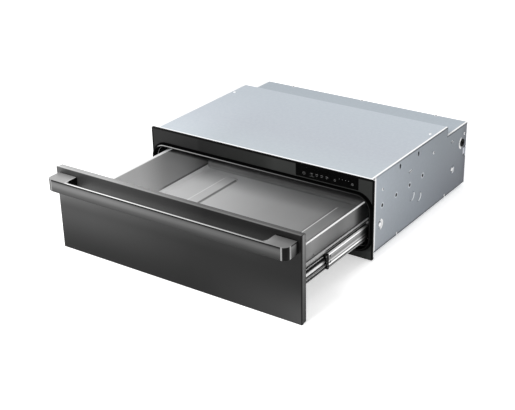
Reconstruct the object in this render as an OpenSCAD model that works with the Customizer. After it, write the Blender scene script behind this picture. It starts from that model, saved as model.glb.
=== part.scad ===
// Built-in warming drawer, drawn pulled out on its slides.
// Origin at the centre of the cabinet's underside, +X right, +Y back, +Z up, millimetres.

/* [Outer front] */
// Width of the outer front
panel_w = 759; // [740:1:790]
// Height of the outer front
panel_h = 234; // [230:1:250]
// Thickness of the outer front
panel_t = 20.2; // [18:0.1:26]
// How far the outer front hangs below the cabinet's underside
panel_drop = 10; // [6:0.5:14]
// How far the outer front stands above the cabinet's top
panel_rise = 9; // [6:0.5:14]
// Gap between the bezel and the outer front in the drawn pose
drawer_open = 344.3; // [60:0.1:460]

/* [Handle] */
// How far each end of the handle lies inside the end of the outer front
handle_inset = 9.5; // [6:0.5:120]
// Height of the handle
handle_h = 34; // [20:1:50]
// Distance from the outer front to the handle's front face
handle_reach = 48; // [36:1:70]
// Depth of the bar between the end blocks
bar_t = 8; // [6:0.5:16]
// Length of each end block
block_w = 62; // [40:1:90]
// Radius of the hollow corner between bar and end block
block_fillet = 12; // [4:1:20]
// Radius of the handle's front corners
handle_corner = 15; // [4:1:22]
// Distance from the top of the outer front down to the handle
handle_below = 14; // [6:1:60]

/* [Cabinet] */
// How far the cabinet's sides lie inside the ends of the outer front
cabinet_inset = 30; // [26:0.5:36]
// Depth of the cabinet behind its front flange
cabinet_d = 559; // [520:1:620]
// Thickness of the cabinet's sheet steel
sheet = 0.8; // [0.6:0.1:1]
// Depth of the lower part of the top at the rear
step_d = 127; // [90:1:170]
// How much lower that part is
step_h = 27; // [20:0.5:27]

/* [Bezel and seal] */
// How far the bezel's ends lie inside the ends of the outer front
bezel_inset = 18.5; // [17:0.5:20]
// Thickness of the bezel
bezel_t = 4; // [3.5:0.1:6]
// Depth of the mounting flange behind the bezel
flange_t = 3; // [2.5:0.1:5]
// How far the bezel hangs below the cabinet's underside
bezel_drop = 8; // [5:0.5:9]
// How far the bezel stands above the cabinet's top
bezel_rise = 3.6; // [2:0.1:8]
// Height of the mouth's lower edge above the underside
mouth_z = 22.5; // [21:0.5:24]
// Height of the face above the mouth, up to the cabinet's top
face_h = 49.3; // [48:0.1:55]
// Corner radius of the mouth
mouth_r = 36; // [30:1:37]
// Width of the seal round the mouth
seal_w = 13; // [11:0.5:13]
// How far the seal stands out of the bezel
seal_t = 9; // [7:0.5:12]
// Length of the touch glass
glass_w = 189.5; // [150:0.5:220]
// Distance from the touch glass to the bezel's right end
glass_side = 45; // [35:0.5:80]
// Thickness of the touch glass
glass_t = 3; // [2:0.1:3]

/* [Drawer box] */
// Thickness of the pan's sheet
pan_t = 0.8; // [0.6:0.1:1.2]
// Height of the pan's floor above the cabinet's underside
floor_z = 27.1; // [26.6:0.1:30]
// How far the pan's rim lies below the top of the mouth
rim_drop = 19.6; // [16:0.1:30]
// Width of the pan's rim
rim_w = 8.5; // [6:0.1:10]
// Outer bend radius between the pan's floor and sides
pan_r = 10; // [6:0.5:10]
// Depth of the pan inside
pan_d = 552; // [500:1:556]
// Width of a raised rib in the floor
rib_w = 45; // [30:0.1:60]
// Distance from the drawer's middle to the middle of the left rib
left_rib_x = 208; // [120:1:240]
// Distance from the drawer's middle to the middle of the right rib
right_rib_x = 178; // [120:1:240]
// Height of a rib
rib_h = 3; // [2:0.1:3.5]
// Distance from a rib's end to the pan's end
rib_end = 33; // [25:1:80]

/* [Slides] */
// Thickness of a slide, from the cabinet to the drawer's rail
slide_t = 12.7; // [12.7:0.1:13.5]
// Height of a slide's outer member
slide_h = 45; // [45:0.5:47]
// Height of the slides' middle line above the cabinet's underside
slide_z = 70; // [68:0.5:72]
// Share of the drawer's travel that the middle member makes
mid_share = 0.58; // [0.56:0.01:0.62]
// Depth of the round dimples that carry the slides
dimple_depth = 2.5; // [2:0.1:3]
// Radius of the slide fixing dimples
dimple_r = 13.5; // [10:0.5:16]
// Reach of the drawer's rails out to the slides
rail_reach = 9.5; // [8:0.1:12]

/* [Side fixing holes] */
// Radius of the fixing holes in the cabinet's sides
hole_r = 2.9; // [1.5:0.1:3]
// Distance between fixing holes
hole_pitch = 75.3; // [50:0.1:90]
// Distance from the cabinet's middle forward to the first fixing hole
hole_first = 220; // [200:1:250]
// Distance from the cabinet's top down to the fixing holes
hole_drop = 93; // [88:1:100]

/* [Hidden] */

$fn = 64;
// Overrun of every cut past the face it opens
over = 1;
// Clearance of a piece that drops into a recess
fit_gap = 0.15;
// Clearance of a screw in its hole
screw_gap = 0.05;

// Cabinet, seen from its middle
cabinet_w = panel_w - 2 * cabinet_inset;
cabinet_h = panel_h - panel_drop - panel_rise;
half_w = cabinet_w / 2;
wall_x = half_w - sheet;
front_y = -cabinet_d / 2;
rear_y = cabinet_d / 2;
low_top = cabinet_h - step_h;
step_y = rear_y - step_d;

// Bezel, mounting flange and mouth
bezel_half = panel_w / 2 - bezel_inset;
bezel_y = front_y - flange_t - bezel_t;
bezel_top = cabinet_h + bezel_rise;
bezel_corner = 4;
mouth_gap = 0.7;
mouth_x = wall_x - mouth_gap;
mouth_top = cabinet_h - face_h;
seal_base = 3;
seal_bulb = 4.4;
flange_rim = 1.2;
flange_inset = 0.5;
glass_edge = 1;
glass_low = 2;
glass_corner = 1.5;
glass_x1 = bezel_half - glass_side;
glass_x0 = glass_x1 - glass_w;
glass_z0 = mouth_top + seal_w + glass_low;
glass_z1 = bezel_top - glass_edge;
window_inset = 6;
carrier_depth = 18;
carrier_wall = 1.5;
touch_board_t = 1.6;
touch_gap = 5;

// Outer front
panel_z0 = -panel_drop;
panel_z1 = panel_z0 + panel_h;
back_y = bezel_y - drawer_open;
panel_y = back_y - panel_t;
front_sheet = 0.8;
skin_return = 7;
backing_lap = 4;
handle_w = panel_w - 2 * handle_inset;
handle_top = panel_z1 - handle_below;
spacer_t = 2;
spacer_inset = 1.5;
handle_screw_r = 2.5;
handle_screw_head = 5;
handle_head_t = 3;
handle_screw_l = 16;
handle_screw_z = 8;

// Travel of the drawer and the places of the slide members
seal_clear = 0.3;
slide_spare = 9;
slide_start = 1.5;
mid_start = 1;
mid_short = 10;
inner_start = 4;
slide_l = cabinet_d - slide_spare;
travel_in = drawer_open - seal_t - seal_clear;
travel_out = slide_l - travel_in;
outer_y = front_y + slide_start;
mid_l = slide_l - mid_short;
mid_y = front_y + mid_start - mid_share * travel_in;
inner_y = back_y + inner_start;
outer_cage_l = 200;
inner_cage_l = 280;
outer_cage_y = (outer_y + mid_y + mid_l - mid_share * travel_out) / 2
    + mid_share / 2 * travel_out - outer_cage_l / 2;
inner_cage_y = (mid_y - mid_share * travel_out + inner_y + slide_l - travel_out) / 2
    + (1 + mid_share) / 2 * travel_out - inner_cage_l / 2;

// Slide sections, measured from the slide's back towards the drawer and from its middle line
slide_x = wall_x - dimple_depth;
steel = 1.2;
running = 0.3;
ball_r = 1.9;
ball_u = 7.7;
ball_pitch = 24;
outer_v = slide_h / 2;
outer_reach = slide_t - steel - running;
outer_lip = 4.2;
mid_u = 4.1;
mid_fold = 1;
mid_web_edge = 2.1;
mid_fold_edge = 0.9;
mid_groove = outer_v - steel - 2 * (ball_r + running);
mid_shoulder = 2.35;
mid_lip = 2.8;
mid_u_front = mid_u - mid_fold;
inner_flange = mid_groove - steel - 2 * (ball_r + running);
inner_edge = 3.45;
inner_v = inner_flange + inner_edge;
inner_u = slide_t - steel;
inner_tip = 6.6;
bead_depth = 1.6;
bead_v = 3.2;
bead_bend = 0.2;
cage_t = 0.5;
cage_u = 1.6;
cage_rise = 0.8;
inner_cage_u = mid_u + steel + running;
cage_edge = 0.2;
bumper_top = 14;
bumper_low = 6;
bumper_v = 20.5;
bumper_web = 2.3;
mid_hole_r = 2.6;
mid_hole_y = 8;
mid_holes_v = [11.5, -5];

// Drawer box
rim_z = mouth_top - rim_drop;
rail_x = slide_x - slide_t;
frame_x = rail_x - rail_reach;
frame_t = 0.8;
frame_z = 38;
pan_gap = 2.4;
pan_x = frame_x - frame_t - pan_gap - pan_t;
pan_front_y = back_y + pan_t;
pan_back_y = pan_front_y + pan_d;
rear_frame_y = pan_back_y + pan_t + pan_gap;
rib_corner = 12;
rib_top = floor_z + rib_h;
rail_t = 1.2;
rail_lift = 0.1;
rail_sink = 0.5;
rail_top = slide_z + outer_v + rail_lift;
rail_low = slide_z - outer_v - rail_sink;
rail_front = 1.6;
rivet_r = 2.4;
rivet_t = 1.2;
rivet_v = 7.4;
rivet_shares = [0.08, 0.5, 0.92];
tab_slot = [8, 3];
tab_slot_y = 112;
tab_slot_rise = 6;
bracket_t = 1.2;
bracket_w = 14;
bracket_gap = 3;
bracket_z = rail_top + bracket_gap;
bracket_h = rim_z - pan_t - bracket_gap - bracket_z;
bracket_screw_r = 1.6;
bracket_head_r = 3;
bracket_head_t = 1.8;
bracket_screw_shares = [0.22, 0.78];

// Cabinet interior
flange_h = 12;
top_flange = 10;
floor_wool_t = 8;
reflector_t = 0.6;
reflector_inset = 12;
ceiling_drop = 41;
ceiling_z = cabinet_h - ceiling_drop;
ceiling_flange = 20;
ceiling_wool_t = 11;
wool_inset = 6;
tray_in = 308.7;
tray_left = wall_x - tray_in;
tray_y1 = 145;
tray_inset = 8;
tray_z = ceiling_z + sheet + ceiling_wool_t;
board_in = 258.7;
board_left = wall_x - board_in;
board_back_gap = 44.5;
board_front = front_y + board_back_gap;
board_size = [190, 120, 1.6];
board_lift = 6;
standoff_r = 3;
standoff_inset = 8;
terminal_in = 86.7;
terminal_left = wall_x - terminal_in;
terminal_front = 104;
terminal_size = [52, 26, 16];
terminal_screw_r = 2;
terminal_count = 3;
element_r = 3.2;
element_x = 40;
element_end_gap = 99.5;
element_tail_gap = 17.5;
element_half_l = rear_y - element_end_gap;
element_tail_l = rear_y - element_tail_gap;
element_lift = 6.6;
element_z = floor_wool_t + sheet + reflector_t + element_lift;
clip_size = [14, 8];
element_runs = [-5, -3, -1, 1, 3, 5];
clip_shares = [-0.55, 0.55];
sensor_at = [-120, 150];
sensor_r = 3;
sensor_l = 26;
sensor_drop = 5;
sensor_foot = [14, 10, 1.2];
cutout_at = [-60, 150];
cutout_r = 8;
cutout_h = 9;
cutout_flange = [26, 12, 1];
cutout_pin = [5, 0.8, 6];
cutout_pin_gap = 5;
wire_r = 1.4;
wire_y = 271;
wire_room = 1;
lead_x = 268;
lead_drop_y = tray_y1 + 3;

// Openings and fixings in the cabinet's sides: distance back from its middle, then down from its top
// (a dimple's height is from the slide's middle, and its last number is added to its radius)
dimple_wall = 1.5;
dimples = [[-229, 0, 0], [-53, 13, 2.5], [-12, -4, 2.5], [195, 0, 0]];
slide_screw_places = [-229, 195];
slide_screw_r = 2.2;
slide_head_r = 5.5;
slide_head_t = 1.9;
vent_slots = [[-126.9, 17.5], [-23.5, 18]];
vent_w = 6.5;
vent_h = 13;
louvres = [[-66, 52.6, 17], [186.5, 54.5, 12]];
louvre_h = 4.4;
louvre_lip = 1.5;
screw_drop = [47, 47.5, 56];
low_screw_z = 6;
side_screws = [[-221.3, cabinet_h - screw_drop[0]], [66.6, cabinet_h - screw_drop[1]],
    [262.6, cabinet_h - screw_drop[2]], [-136.3, low_screw_z], [149.7, low_screw_z]];
case_screw_r = 1.8;
case_head_r = 3.8;
case_head_t = 1.8;
case_screw_l = 5;
top_screw_y = 76.5;
top_screw_in = 17;
rear_screws_x = [-250, 0, 250];
rear_screw_z = 6;
rear_lip = 4;
rear_lip_h = 8;
tab_drop = 101;
tab_z = low_top - tab_drop;
tab_h = 25;
tab_w = 8.5;
tab_gap = 4;
grommet_y = 251.4;
grommet_drop = 53.8;
grommet_z = low_top - grommet_drop;
grommet_hole = 8;
grommet_bore = 4.5;
grommet_r = 11.5;
grommet_flange = 2.6;

// A box between two corners
module box(lo, hi) translate(lo) cube(hi - lo);

// An outline in X and Z pushed back along Y from y0
module slab_y(y0, depth) translate([0, y0 + depth, 0]) rotate([90, 0, 0]) linear_extrude(depth) children();

// An outline in Y and Z pushed right along X from x0
module slab_x(x0, depth) translate([x0, 0, 0]) rotate([90, 0, 90]) linear_extrude(depth) children();

// A round bar along X, Y or Z that starts at a point
module bar_x(at, r, l) translate(at) rotate([0, 90, 0]) cylinder(h = l, r = r);
module bar_y(at, r, l) translate(at) rotate([-90, 0, 0]) cylinder(h = l, r = r);
module bar_z(at, r, l) translate(at) cylinder(h = l, r = r);

// The same piece on the cabinet's other side
module left() mirror([1, 0, 0]) children();
module both() {
    children();
    left() children();
}

// Rectangle with round corners
module round_rect(lo, hi, r) {
    translate([lo.x + r, lo.y]) square([hi.x - lo.x - 2 * r, hi.y - lo.y]);
    translate([lo.x, lo.y + r]) square([hi.x - lo.x, hi.y - lo.y - 2 * r]);
    for (x = [lo.x + r, hi.x - r], y = [lo.y + r, hi.y - r])
        translate([x, y]) circle(r);
}

// Outline of the mouth, grown by a margin
module mouth_outline(grow) round_rect([-mouth_x - grow, mouth_z - grow], [mouth_x + grow, mouth_top + grow],
    mouth_r + grow);

// Screw along X with its head outwards at x
module side_screw(x, y, z, head_r, head_t, r, l) {
    bar_x([x, y, z], head_r, head_t);
    bar_x([x - l, y, z], r, l + head_t / 2);
}

// Cabinet shell

// Folded base with upturned edges
module base_pan() color("#b4b9bf") {
    difference() {
        union() {
            box([-wall_x, front_y, 0], [wall_x, rear_y - sheet, sheet]);
            for (s = [-1, 1])
                box([s > 0 ? wall_x - sheet : -wall_x, front_y, 0],
                    [s > 0 ? wall_x : sheet - wall_x, rear_y - sheet, flange_h]);
            box([-wall_x, front_y, 0], [wall_x, front_y + sheet, flange_h]);
            box([-wall_x, rear_y - 2 * sheet, 0], [wall_x, rear_y - sheet, flange_h]);
        }
        both() for (p = side_screws) if (p.y < flange_h)
            bar_x([wall_x - sheet - over, p.x, p.y], case_screw_r + screw_gap, sheet + 2 * over);
        for (x = rear_screws_x)
            bar_y([x, rear_y - 2 * sheet - over, rear_screw_z], case_screw_r + screw_gap, sheet + 2 * over);
    }
}

// Round dimple pressed inwards, with its flat bottom against the slide
module dimple(y, z, r) {
    difference() {
        translate([wall_x - dimple_depth, y, z]) rotate([0, 90, 0])
            cylinder(h = dimple_depth + sheet, r1 = r - dimple_wall, r2 = r);
        translate([wall_x - dimple_depth + sheet, y, z]) rotate([0, 90, 0])
            cylinder(h = dimple_depth + sheet, r1 = r - dimple_wall - sheet, r2 = r - sheet);
    }
}

// Side sheet with its fixing holes, vents, louvres, dimples and rear window
module side_sheet() {
    difference() {
        union() {
            difference() {
                slab_x(wall_x, sheet) polygon([[front_y, 0], [rear_y, 0], [rear_y, low_top],
                    [step_y, low_top], [step_y, cabinet_h], [front_y, cabinet_h]]);
                for (p = dimples)
                    bar_x([wall_x - over, p.x, slide_z + p.y], dimple_r + p.z - sheet, sheet + 2 * over);
            }
            for (p = dimples) dimple(p.x, slide_z + p.y, dimple_r + p.z);
            for (p = louvres)
                bar_y([half_w, p.x - p.z / 2, cabinet_h - p.y - louvre_h / 2 - louvre_lip / 2], louvre_lip, p.z);
        }
        for (i = [0 : 3])
            bar_x([wall_x - over, i * hole_pitch - hole_first, cabinet_h - hole_drop], hole_r, sheet + 2 * over);
        for (p = vent_slots)
            slab_x(wall_x - over, sheet + 2 * over)
                round_rect([p.x - vent_w / 2, cabinet_h - p.y - vent_h / 2],
                    [p.x + vent_w / 2, cabinet_h - p.y + vent_h / 2], vent_w / 2.05);
        for (p = louvres)
            slab_x(wall_x - over, louvre_lip + sheet + 2 * over)
                round_rect([p.x - p.z / 2, cabinet_h - p.y - louvre_h / 2],
                    [p.x + p.z / 2, cabinet_h - p.y + louvre_h / 2], louvre_h / 2.05);
        for (p = side_screws)
            bar_x([wall_x - over, p.x, p.y], case_screw_r + screw_gap, sheet + 2 * over);
        for (y = slide_screw_places)
            bar_x([slide_x - over, y, slide_z], slide_screw_r + screw_gap, dimple_depth + sheet + 2 * over);
        bar_x([wall_x - over, grommet_y, grommet_z], grommet_hole, sheet + 2 * over);
        box([wall_x - over, rear_y - tab_w, tab_z - tab_gap], [half_w + over, rear_y + over, tab_z + tab_h + tab_gap]);
        for (p = louvres)
            box([wall_x - 2 * louvre_lip, p.x - p.z, cabinet_h - p.y - louvre_h - 2 * louvre_lip],
                [wall_x, p.x + p.z, cabinet_h - p.y + louvre_h]);
    }
}

module left_side() color("#9aa1a9") left() side_sheet();
module right_side() color("#9aa1a9") side_sheet();

// Stepped top with a lip that overhangs the rear panel
module top_panel() color("#c2cad4") {
    difference() {
        union() {
            box([-wall_x, front_y, cabinet_h - sheet], [wall_x, step_y, cabinet_h]);
            box([-wall_x, step_y - sheet, low_top - sheet], [wall_x, step_y, cabinet_h]);
            box([-wall_x, step_y - sheet, low_top - sheet], [wall_x, rear_y + rear_lip, low_top]);
            box([-wall_x, rear_y + rear_lip - sheet, low_top - rear_lip_h],
                [wall_x, rear_y + rear_lip, low_top]);
            both() box([wall_x - sheet, front_y + flange_t, cabinet_h - top_flange],
                [wall_x, step_y - sheet - fit_gap, cabinet_h]);
        }
        both() bar_z([half_w - top_screw_in, top_screw_y, cabinet_h - sheet - over],
            case_screw_r + screw_gap, sheet + 2 * over);
        for (x = rear_screws_x)
            bar_y([x, rear_y + rear_lip - sheet - over, low_top - rear_lip_h / 2],
                case_screw_r + screw_gap, sheet + 2 * over);
    }
}

// Flat rear wall with a tab through each side
module rear_panel() color("#b4b9bf") {
    difference() {
        union() {
            box([-wall_x, rear_y - sheet, 0], [wall_x, rear_y, low_top - sheet]);
            both() box([wall_x - over, rear_y - tab_w + tab_gap / 2, tab_z], [half_w, rear_y, tab_z + tab_h]);
        }
        for (x = rear_screws_x, z = [rear_screw_z, low_top - rear_lip_h / 2])
            bar_y([x, rear_y - sheet - over, z], case_screw_r + screw_gap, sheet + 2 * over);
    }
}

// Bright folded flange that rests against the furniture round the cut-out
module mount_flange() color("#e4e7ea") {
    lo = [-bezel_half + flange_inset, -bezel_drop + flange_inset];
    hi = [bezel_half - flange_inset, bezel_top - flange_inset];
    difference() {
        slab_y(front_y - flange_t, flange_t) round_rect(lo, hi, bezel_corner);
        slab_y(front_y - flange_t - over, flange_t - sheet + over)
            round_rect(lo + [flange_rim, flange_rim], hi - [flange_rim, flange_rim], bezel_corner - flange_rim);
        slab_y(front_y - flange_t, flange_t + over) mouth_outline(0);
        box([glass_x0 + window_inset, front_y - flange_t, glass_z0 + window_inset],
            [glass_x1 - window_inset, front_y + over, glass_z1 - window_inset]);
    }
}

// Dark bezel with the mouth and the recess of the touch glass
module bezel() color("#2e2f30") {
    difference() {
        slab_y(bezel_y, bezel_t)
            round_rect([-bezel_half, -bezel_drop], [bezel_half, bezel_top], bezel_corner);
        slab_y(bezel_y - over, bezel_t + 2 * over) mouth_outline(0);
        slab_y(bezel_y - over, glass_t + over)
            round_rect([glass_x0, glass_z0], [glass_x1, glass_z1], glass_corner);
        box([glass_x0 + window_inset, bezel_y, glass_z0 + window_inset],
            [glass_x1 - window_inset, bezel_y + bezel_t + over, glass_z1 - window_inset]);
    }
}

// Black seal: a flat foot and a round bead that the outer front closes on
module mouth_seal() color("#17181a") {
    bead_r = mouth_r + seal_w / 2;
    bead_x = mouth_x + seal_w / 2;
    bead_y = bezel_y - seal_t + seal_bulb;
    bead_z0 = mouth_z - seal_w / 2;
    bead_z1 = mouth_top + seal_w / 2;
    difference() {
        slab_y(bezel_y - seal_base, seal_base) mouth_outline(seal_w - fit_gap);
        slab_y(bezel_y - seal_base - over, seal_base + 2 * over) mouth_outline(0);
    }
    for (z = [bead_z0, bead_z1])
        bar_x([bead_r - bead_x, bead_y, z], seal_bulb, 2 * (bead_x - bead_r));
    for (x = [-bead_x, bead_x])
        bar_z([x, bead_y, bead_z0 + bead_r], seal_bulb, bead_z1 - bead_z0 - 2 * bead_r);
    for (sx = [-1, 1], sz = [0, 1])
        translate([sx * (bead_x - bead_r), bead_y, sz > 0 ? bead_z1 - bead_r : bead_z0 + bead_r])
            rotate([90, sx > 0 ? (sz > 0 ? 0 : 90) : (sz > 0 ? -90 : 180), 0])
                rotate_extrude(angle = 90) translate([bead_r, 0]) circle(seal_bulb);
}

// Touch controls

module touch_glass() color("#141416")
    slab_y(bezel_y, glass_t - fit_gap)
        round_rect([glass_x0 + fit_gap, glass_z0 + fit_gap], [glass_x1 - fit_gap, glass_z1 - fit_gap],
            glass_corner);

// Plastic tray behind the bezel that holds the touch board
module glass_carrier() color("#3a3c3f") {
    lo = [glass_x0 + window_inset + fit_gap, glass_z0 + window_inset + fit_gap];
    hi = [glass_x1 - window_inset - fit_gap, glass_z1 - window_inset - fit_gap];
    y0 = bezel_y + glass_t;
    difference() {
        box([lo.x, y0, lo.y], [hi.x, y0 + carrier_depth, hi.y]);
        box([lo.x + carrier_wall, y0 - over, lo.y + carrier_wall],
            [hi.x - carrier_wall, y0 + carrier_depth - carrier_wall, hi.y - carrier_wall]);
    }
}

module touch_board() color("#1f5c3a") {
    lo = [glass_x0 + window_inset + carrier_wall + 2 * fit_gap, glass_z0 + window_inset + carrier_wall + 2 * fit_gap];
    hi = [glass_x1 - window_inset - carrier_wall - 2 * fit_gap, glass_z1 - window_inset - carrier_wall - 2 * fit_gap];
    y0 = bezel_y + glass_t + touch_gap;
    box([lo.x, y0, lo.y], [hi.x, y0 + touch_board_t, hi.y]);
    for (s = [1, 3, 5, 7])
        translate([lo.x + s * (hi.x - lo.x) / 8, y0 + fit_gap, (lo.y + hi.y) / 2]) rotate([90, 0, 0])
            cylinder(h = touch_gap - fit_gap, r = (hi.y - lo.y) / 4);
}

// Cavity lining and heating

// Sheet ceiling whose edges turn down along the sides
module ceiling_liner() color("#c9ccd0") {
    difference() {
        union() {
            box([-wall_x, front_y, ceiling_z], [wall_x, rear_y - sheet, ceiling_z + sheet]);
            both() box([wall_x - sheet, front_y, ceiling_z - ceiling_flange],
                [wall_x, rear_y - sheet, ceiling_z + sheet]);
        }
        both() for (p = side_screws) if (p.y > ceiling_z - ceiling_flange)
            bar_x([wall_x - sheet - over, p.x, p.y], case_screw_r + screw_gap, sheet + 2 * over);
        bar_z([sensor_at.x, sensor_at.y, ceiling_z - over], sensor_r + fit_gap, sheet + 2 * over);
        bar_z([cutout_at.x, cutout_at.y, ceiling_z - over], cutout_r + fit_gap, sheet + 2 * over);
        for (x = [-max(element_runs) * element_x, lead_x])
            bar_z([x, wire_y, ceiling_z - over], wire_r + wire_room, sheet + 2 * over);
    }
}

module ceiling_insulation() color("#e6e2c8") {
    z0 = ceiling_z + sheet;
    difference() {
        box([wool_inset - wall_x, front_y + wool_inset, z0],
            [wall_x - wool_inset, rear_y - sheet - wool_inset, z0 + ceiling_wool_t]);
        bar_z([sensor_at.x, sensor_at.y, z0 - over], cutout_r, ceiling_wool_t + 2 * over);
        box([cutout_at.x - cutout_flange.x / 2 - fit_gap, cutout_at.y - cutout_flange.x / 2, z0 - over],
            [cutout_at.x + cutout_flange.x / 2 + fit_gap, cutout_at.y + cutout_flange.x / 2,
                z0 + ceiling_wool_t + over]);
        for (x = [-max(element_runs) * element_x, lead_x])
            box([x - wire_r - wire_room, lead_drop_y - wire_r - wire_room, z0 - over],
                [x + wire_r + wire_room, rear_y, z0 + ceiling_wool_t + over]);
    }
}

module floor_insulation() color("#e6e2c8")
    box([reflector_inset - wall_x, front_y + reflector_inset, sheet],
        [wall_x - reflector_inset, rear_y - reflector_inset, sheet + floor_wool_t]);

module heat_reflector() color("#d8dadd")
    box([reflector_inset - wall_x, front_y + reflector_inset, sheet + floor_wool_t],
        [wall_x - reflector_inset, rear_y - reflector_inset, sheet + floor_wool_t + reflector_t]);

// Sheathed element in straight runs joined by half turns, the outer runs longer
module heating_element() color("#6d6a66") {
    for (s = element_runs)
        bar_y([s * element_x, -element_half_l, element_z], element_r,
            element_half_l + (abs(s) == max(element_runs) ? element_tail_l : element_half_l));
    for (s = [-4, 0, 4])
        translate([s * element_x, -element_half_l, element_z]) rotate([0, 0, 180])
            rotate_extrude(angle = 180) translate([element_x, 0]) circle(element_r);
    for (s = [-2, 2])
        translate([s * element_x, element_half_l, element_z])
            rotate_extrude(angle = 180) translate([element_x, 0]) circle(element_r);
}

// Saddles that carry the element on the reflector
module element_clips() color("#a9adb2") {
    z0 = sheet + floor_wool_t + reflector_t;
    difference() {
        for (s = element_runs, t = clip_shares)
            box([s * element_x - clip_size.x / 2, t * element_half_l - clip_size.y / 2, z0],
                [s * element_x + clip_size.x / 2, t * element_half_l + clip_size.y / 2, element_z]);
        for (s = element_runs)
            bar_y([s * element_x, -element_half_l, element_z], element_r + screw_gap, 2 * element_half_l);
    }
}

module temperature_sensor() color("#b9bcc0") {
    z0 = ceiling_z + sheet;
    bar_z([sensor_at.x, sensor_at.y, z0 - sensor_drop - sheet], sensor_r, sensor_drop + sheet + sensor_foot.z);
    box([sensor_at.x - sensor_r, sensor_at.y - sensor_r, z0],
        [sensor_at.x + sensor_r, sensor_at.y + sensor_r, z0 + sensor_foot.z]);
    bar_y([sensor_at.x, sensor_at.y - sensor_l / 2, z0 - sensor_drop - sheet], sensor_r, sensor_l);
}

// Disc thermostat with its flange and two blade terminals
module thermal_cutout() color("#1c1d1f") {
    z0 = ceiling_z + sheet;
    bar_z([cutout_at.x, cutout_at.y, ceiling_z], cutout_r, cutout_h);
    box([cutout_at.x - cutout_flange.x / 2, cutout_at.y - cutout_flange.y / 2, z0],
        [cutout_at.x + cutout_flange.x / 2, cutout_at.y + cutout_flange.y / 2, z0 + cutout_flange.z]);
    for (s = [-1, 1])
        translate([cutout_at.x + s * cutout_pin_gap - cutout_pin.x / 2, cutout_at.y - cutout_pin.y / 2,
            ceiling_z + cutout_h - cutout_pin.y]) cube(cutout_pin);
}

// Electrics above the cavity

module electronics_tray() color("#b4b9bf")
    box([tray_left, front_y + 2 * carrier_depth, tray_z],
        [wall_x - tray_inset, tray_y1, tray_z + sheet]);

// Corners of the power board where it stands on its posts
function board_posts() = [for (x = [board_left + standoff_inset, board_left + board_size.x - standoff_inset],
    y = [board_front + standoff_inset, board_front + board_size.y - standoff_inset]) [x, y]];

module power_board() color("#1f5c3a") {
    z0 = tray_z + sheet + board_lift;
    difference() {
        translate([board_left, board_front, z0]) cube(board_size);
        for (p = board_posts()) bar_z([p.x, p.y, z0 - over], standoff_r / 2 + screw_gap, board_size.z + 2 * over);
    }
}

module board_standoffs() color("#d9dadb")
    for (p = board_posts()) {
        bar_z([p.x, p.y, tray_z + sheet], standoff_r, board_lift);
        bar_z([p.x, p.y, tray_z + sheet], standoff_r / 2, board_lift + board_size.z);
        bar_z([p.x, p.y, tray_z + sheet + board_lift + board_size.z], standoff_r, standoff_r / 2);
    }

// Relays, transformer, capacitors and connectors, placed as shares of the board
module board_parts() {
    z0 = tray_z + sheet + board_lift + board_size.z;
    block_shares = [[0.08, 0.1, 0.12, 0.22, 0.8], [0.08, 0.42, 0.12, 0.22, 0.8], [0.3, 0.12, 0.2, 0.34, 0.95],
        [0.3, 0.62, 0.1, 0.2, 0.6], [0.85, 0.2, 0.08, 0.5, 0.5], [0.58, 0.7, 0.16, 0.16, 0.3]];
    can_shares = [[0.6, 0.2, 0.05], [0.6, 0.45, 0.05], [0.72, 0.3, 0.035]];
    room = cabinet_h - sheet - standoff_r - z0;
    color("#25282c") for (b = block_shares)
        translate([board_left + b[0] * board_size.x, board_front + b[1] * board_size.y, z0])
            cube([b[2] * board_size.x, b[3] * board_size.y, b[4] * room]);
    color("#3b4a63") for (c = can_shares)
        bar_z([board_left + c[0] * board_size.x, board_front + c[1] * board_size.y, z0], c[2] * board_size.x, 0.9 * room);
}

// Screw terminals for the supply leads
module terminal_block() color("#e9e4d4") {
    z0 = tray_z + sheet;
    pitch = terminal_size.x / terminal_count;
    difference() {
        translate([terminal_left, terminal_front, z0]) cube(terminal_size);
        for (i = [0 : terminal_count - 1])
            bar_z([terminal_left + (i + 0.5) * pitch, terminal_front + terminal_size.y / 2,
                z0 + terminal_size.z / 2], terminal_screw_r * 1.5, terminal_size.z);
    }
}

// A lead along a list of points, with a ball at each turn
module lead(points, r) {
    for (i = [0 : len(points) - 2]) {
        d = points[i + 1] - points[i];
        translate(points[i])
            rotate([0, acos(d.z / norm(d)), atan2(d.y, d.x)]) cylinder(h = norm(d), r = r);
    }
    for (i = [1 : len(points) - 2]) translate(points[i]) sphere(r);
}

// Leads from the terminals to the board, and from both of them down the rear wall to the element
module wire_leads() {
    z1 = tray_z + sheet + wire_r + fit_gap;
    z2 = z1 + board_lift / 2;
    z3 = ceiling_z + sheet + wire_r + fit_gap;
    zt = tray_z + sheet + board_lift + board_size.z;
    front_lead_y = terminal_front - board_lift;
    board_end = board_front + board_size.y;
    far_x = board_left + board_size.x - standoff_inset - board_lift;
    color("#2c4fa0")
        lead([[lead_x, terminal_front, z2], [lead_x, front_lead_y, z2], [far_x, front_lead_y, z2],
            [far_x, board_end + board_lift, z2], [far_x, board_end + board_lift, zt + board_lift],
            [far_x, board_end - 2 * board_lift, zt + board_lift], [far_x, board_end - 2 * board_lift, zt]], wire_r);
    color("#7a4b22")
        lead([[tray_left + board_lift, board_front, z1], [tray_left + board_lift, lead_drop_y, z1],
            [-max(element_runs) * element_x, lead_drop_y, z1], [-max(element_runs) * element_x, lead_drop_y, z3], [-max(element_runs) * element_x, wire_y, z3],
            [-max(element_runs) * element_x, wire_y, element_z], [-max(element_runs) * element_x, element_tail_l, element_z]], wire_r);
    color("#2c4fa0")
        lead([[lead_x, terminal_front + terminal_size.y, z2], [lead_x, lead_drop_y, z2], [lead_x, lead_drop_y, z3],
            [lead_x, wire_y, z3], [lead_x, wire_y, element_z], [max(element_runs) * element_x, wire_y, element_z],
            [max(element_runs) * element_x, element_tail_l, element_z]], wire_r);
}

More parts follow.
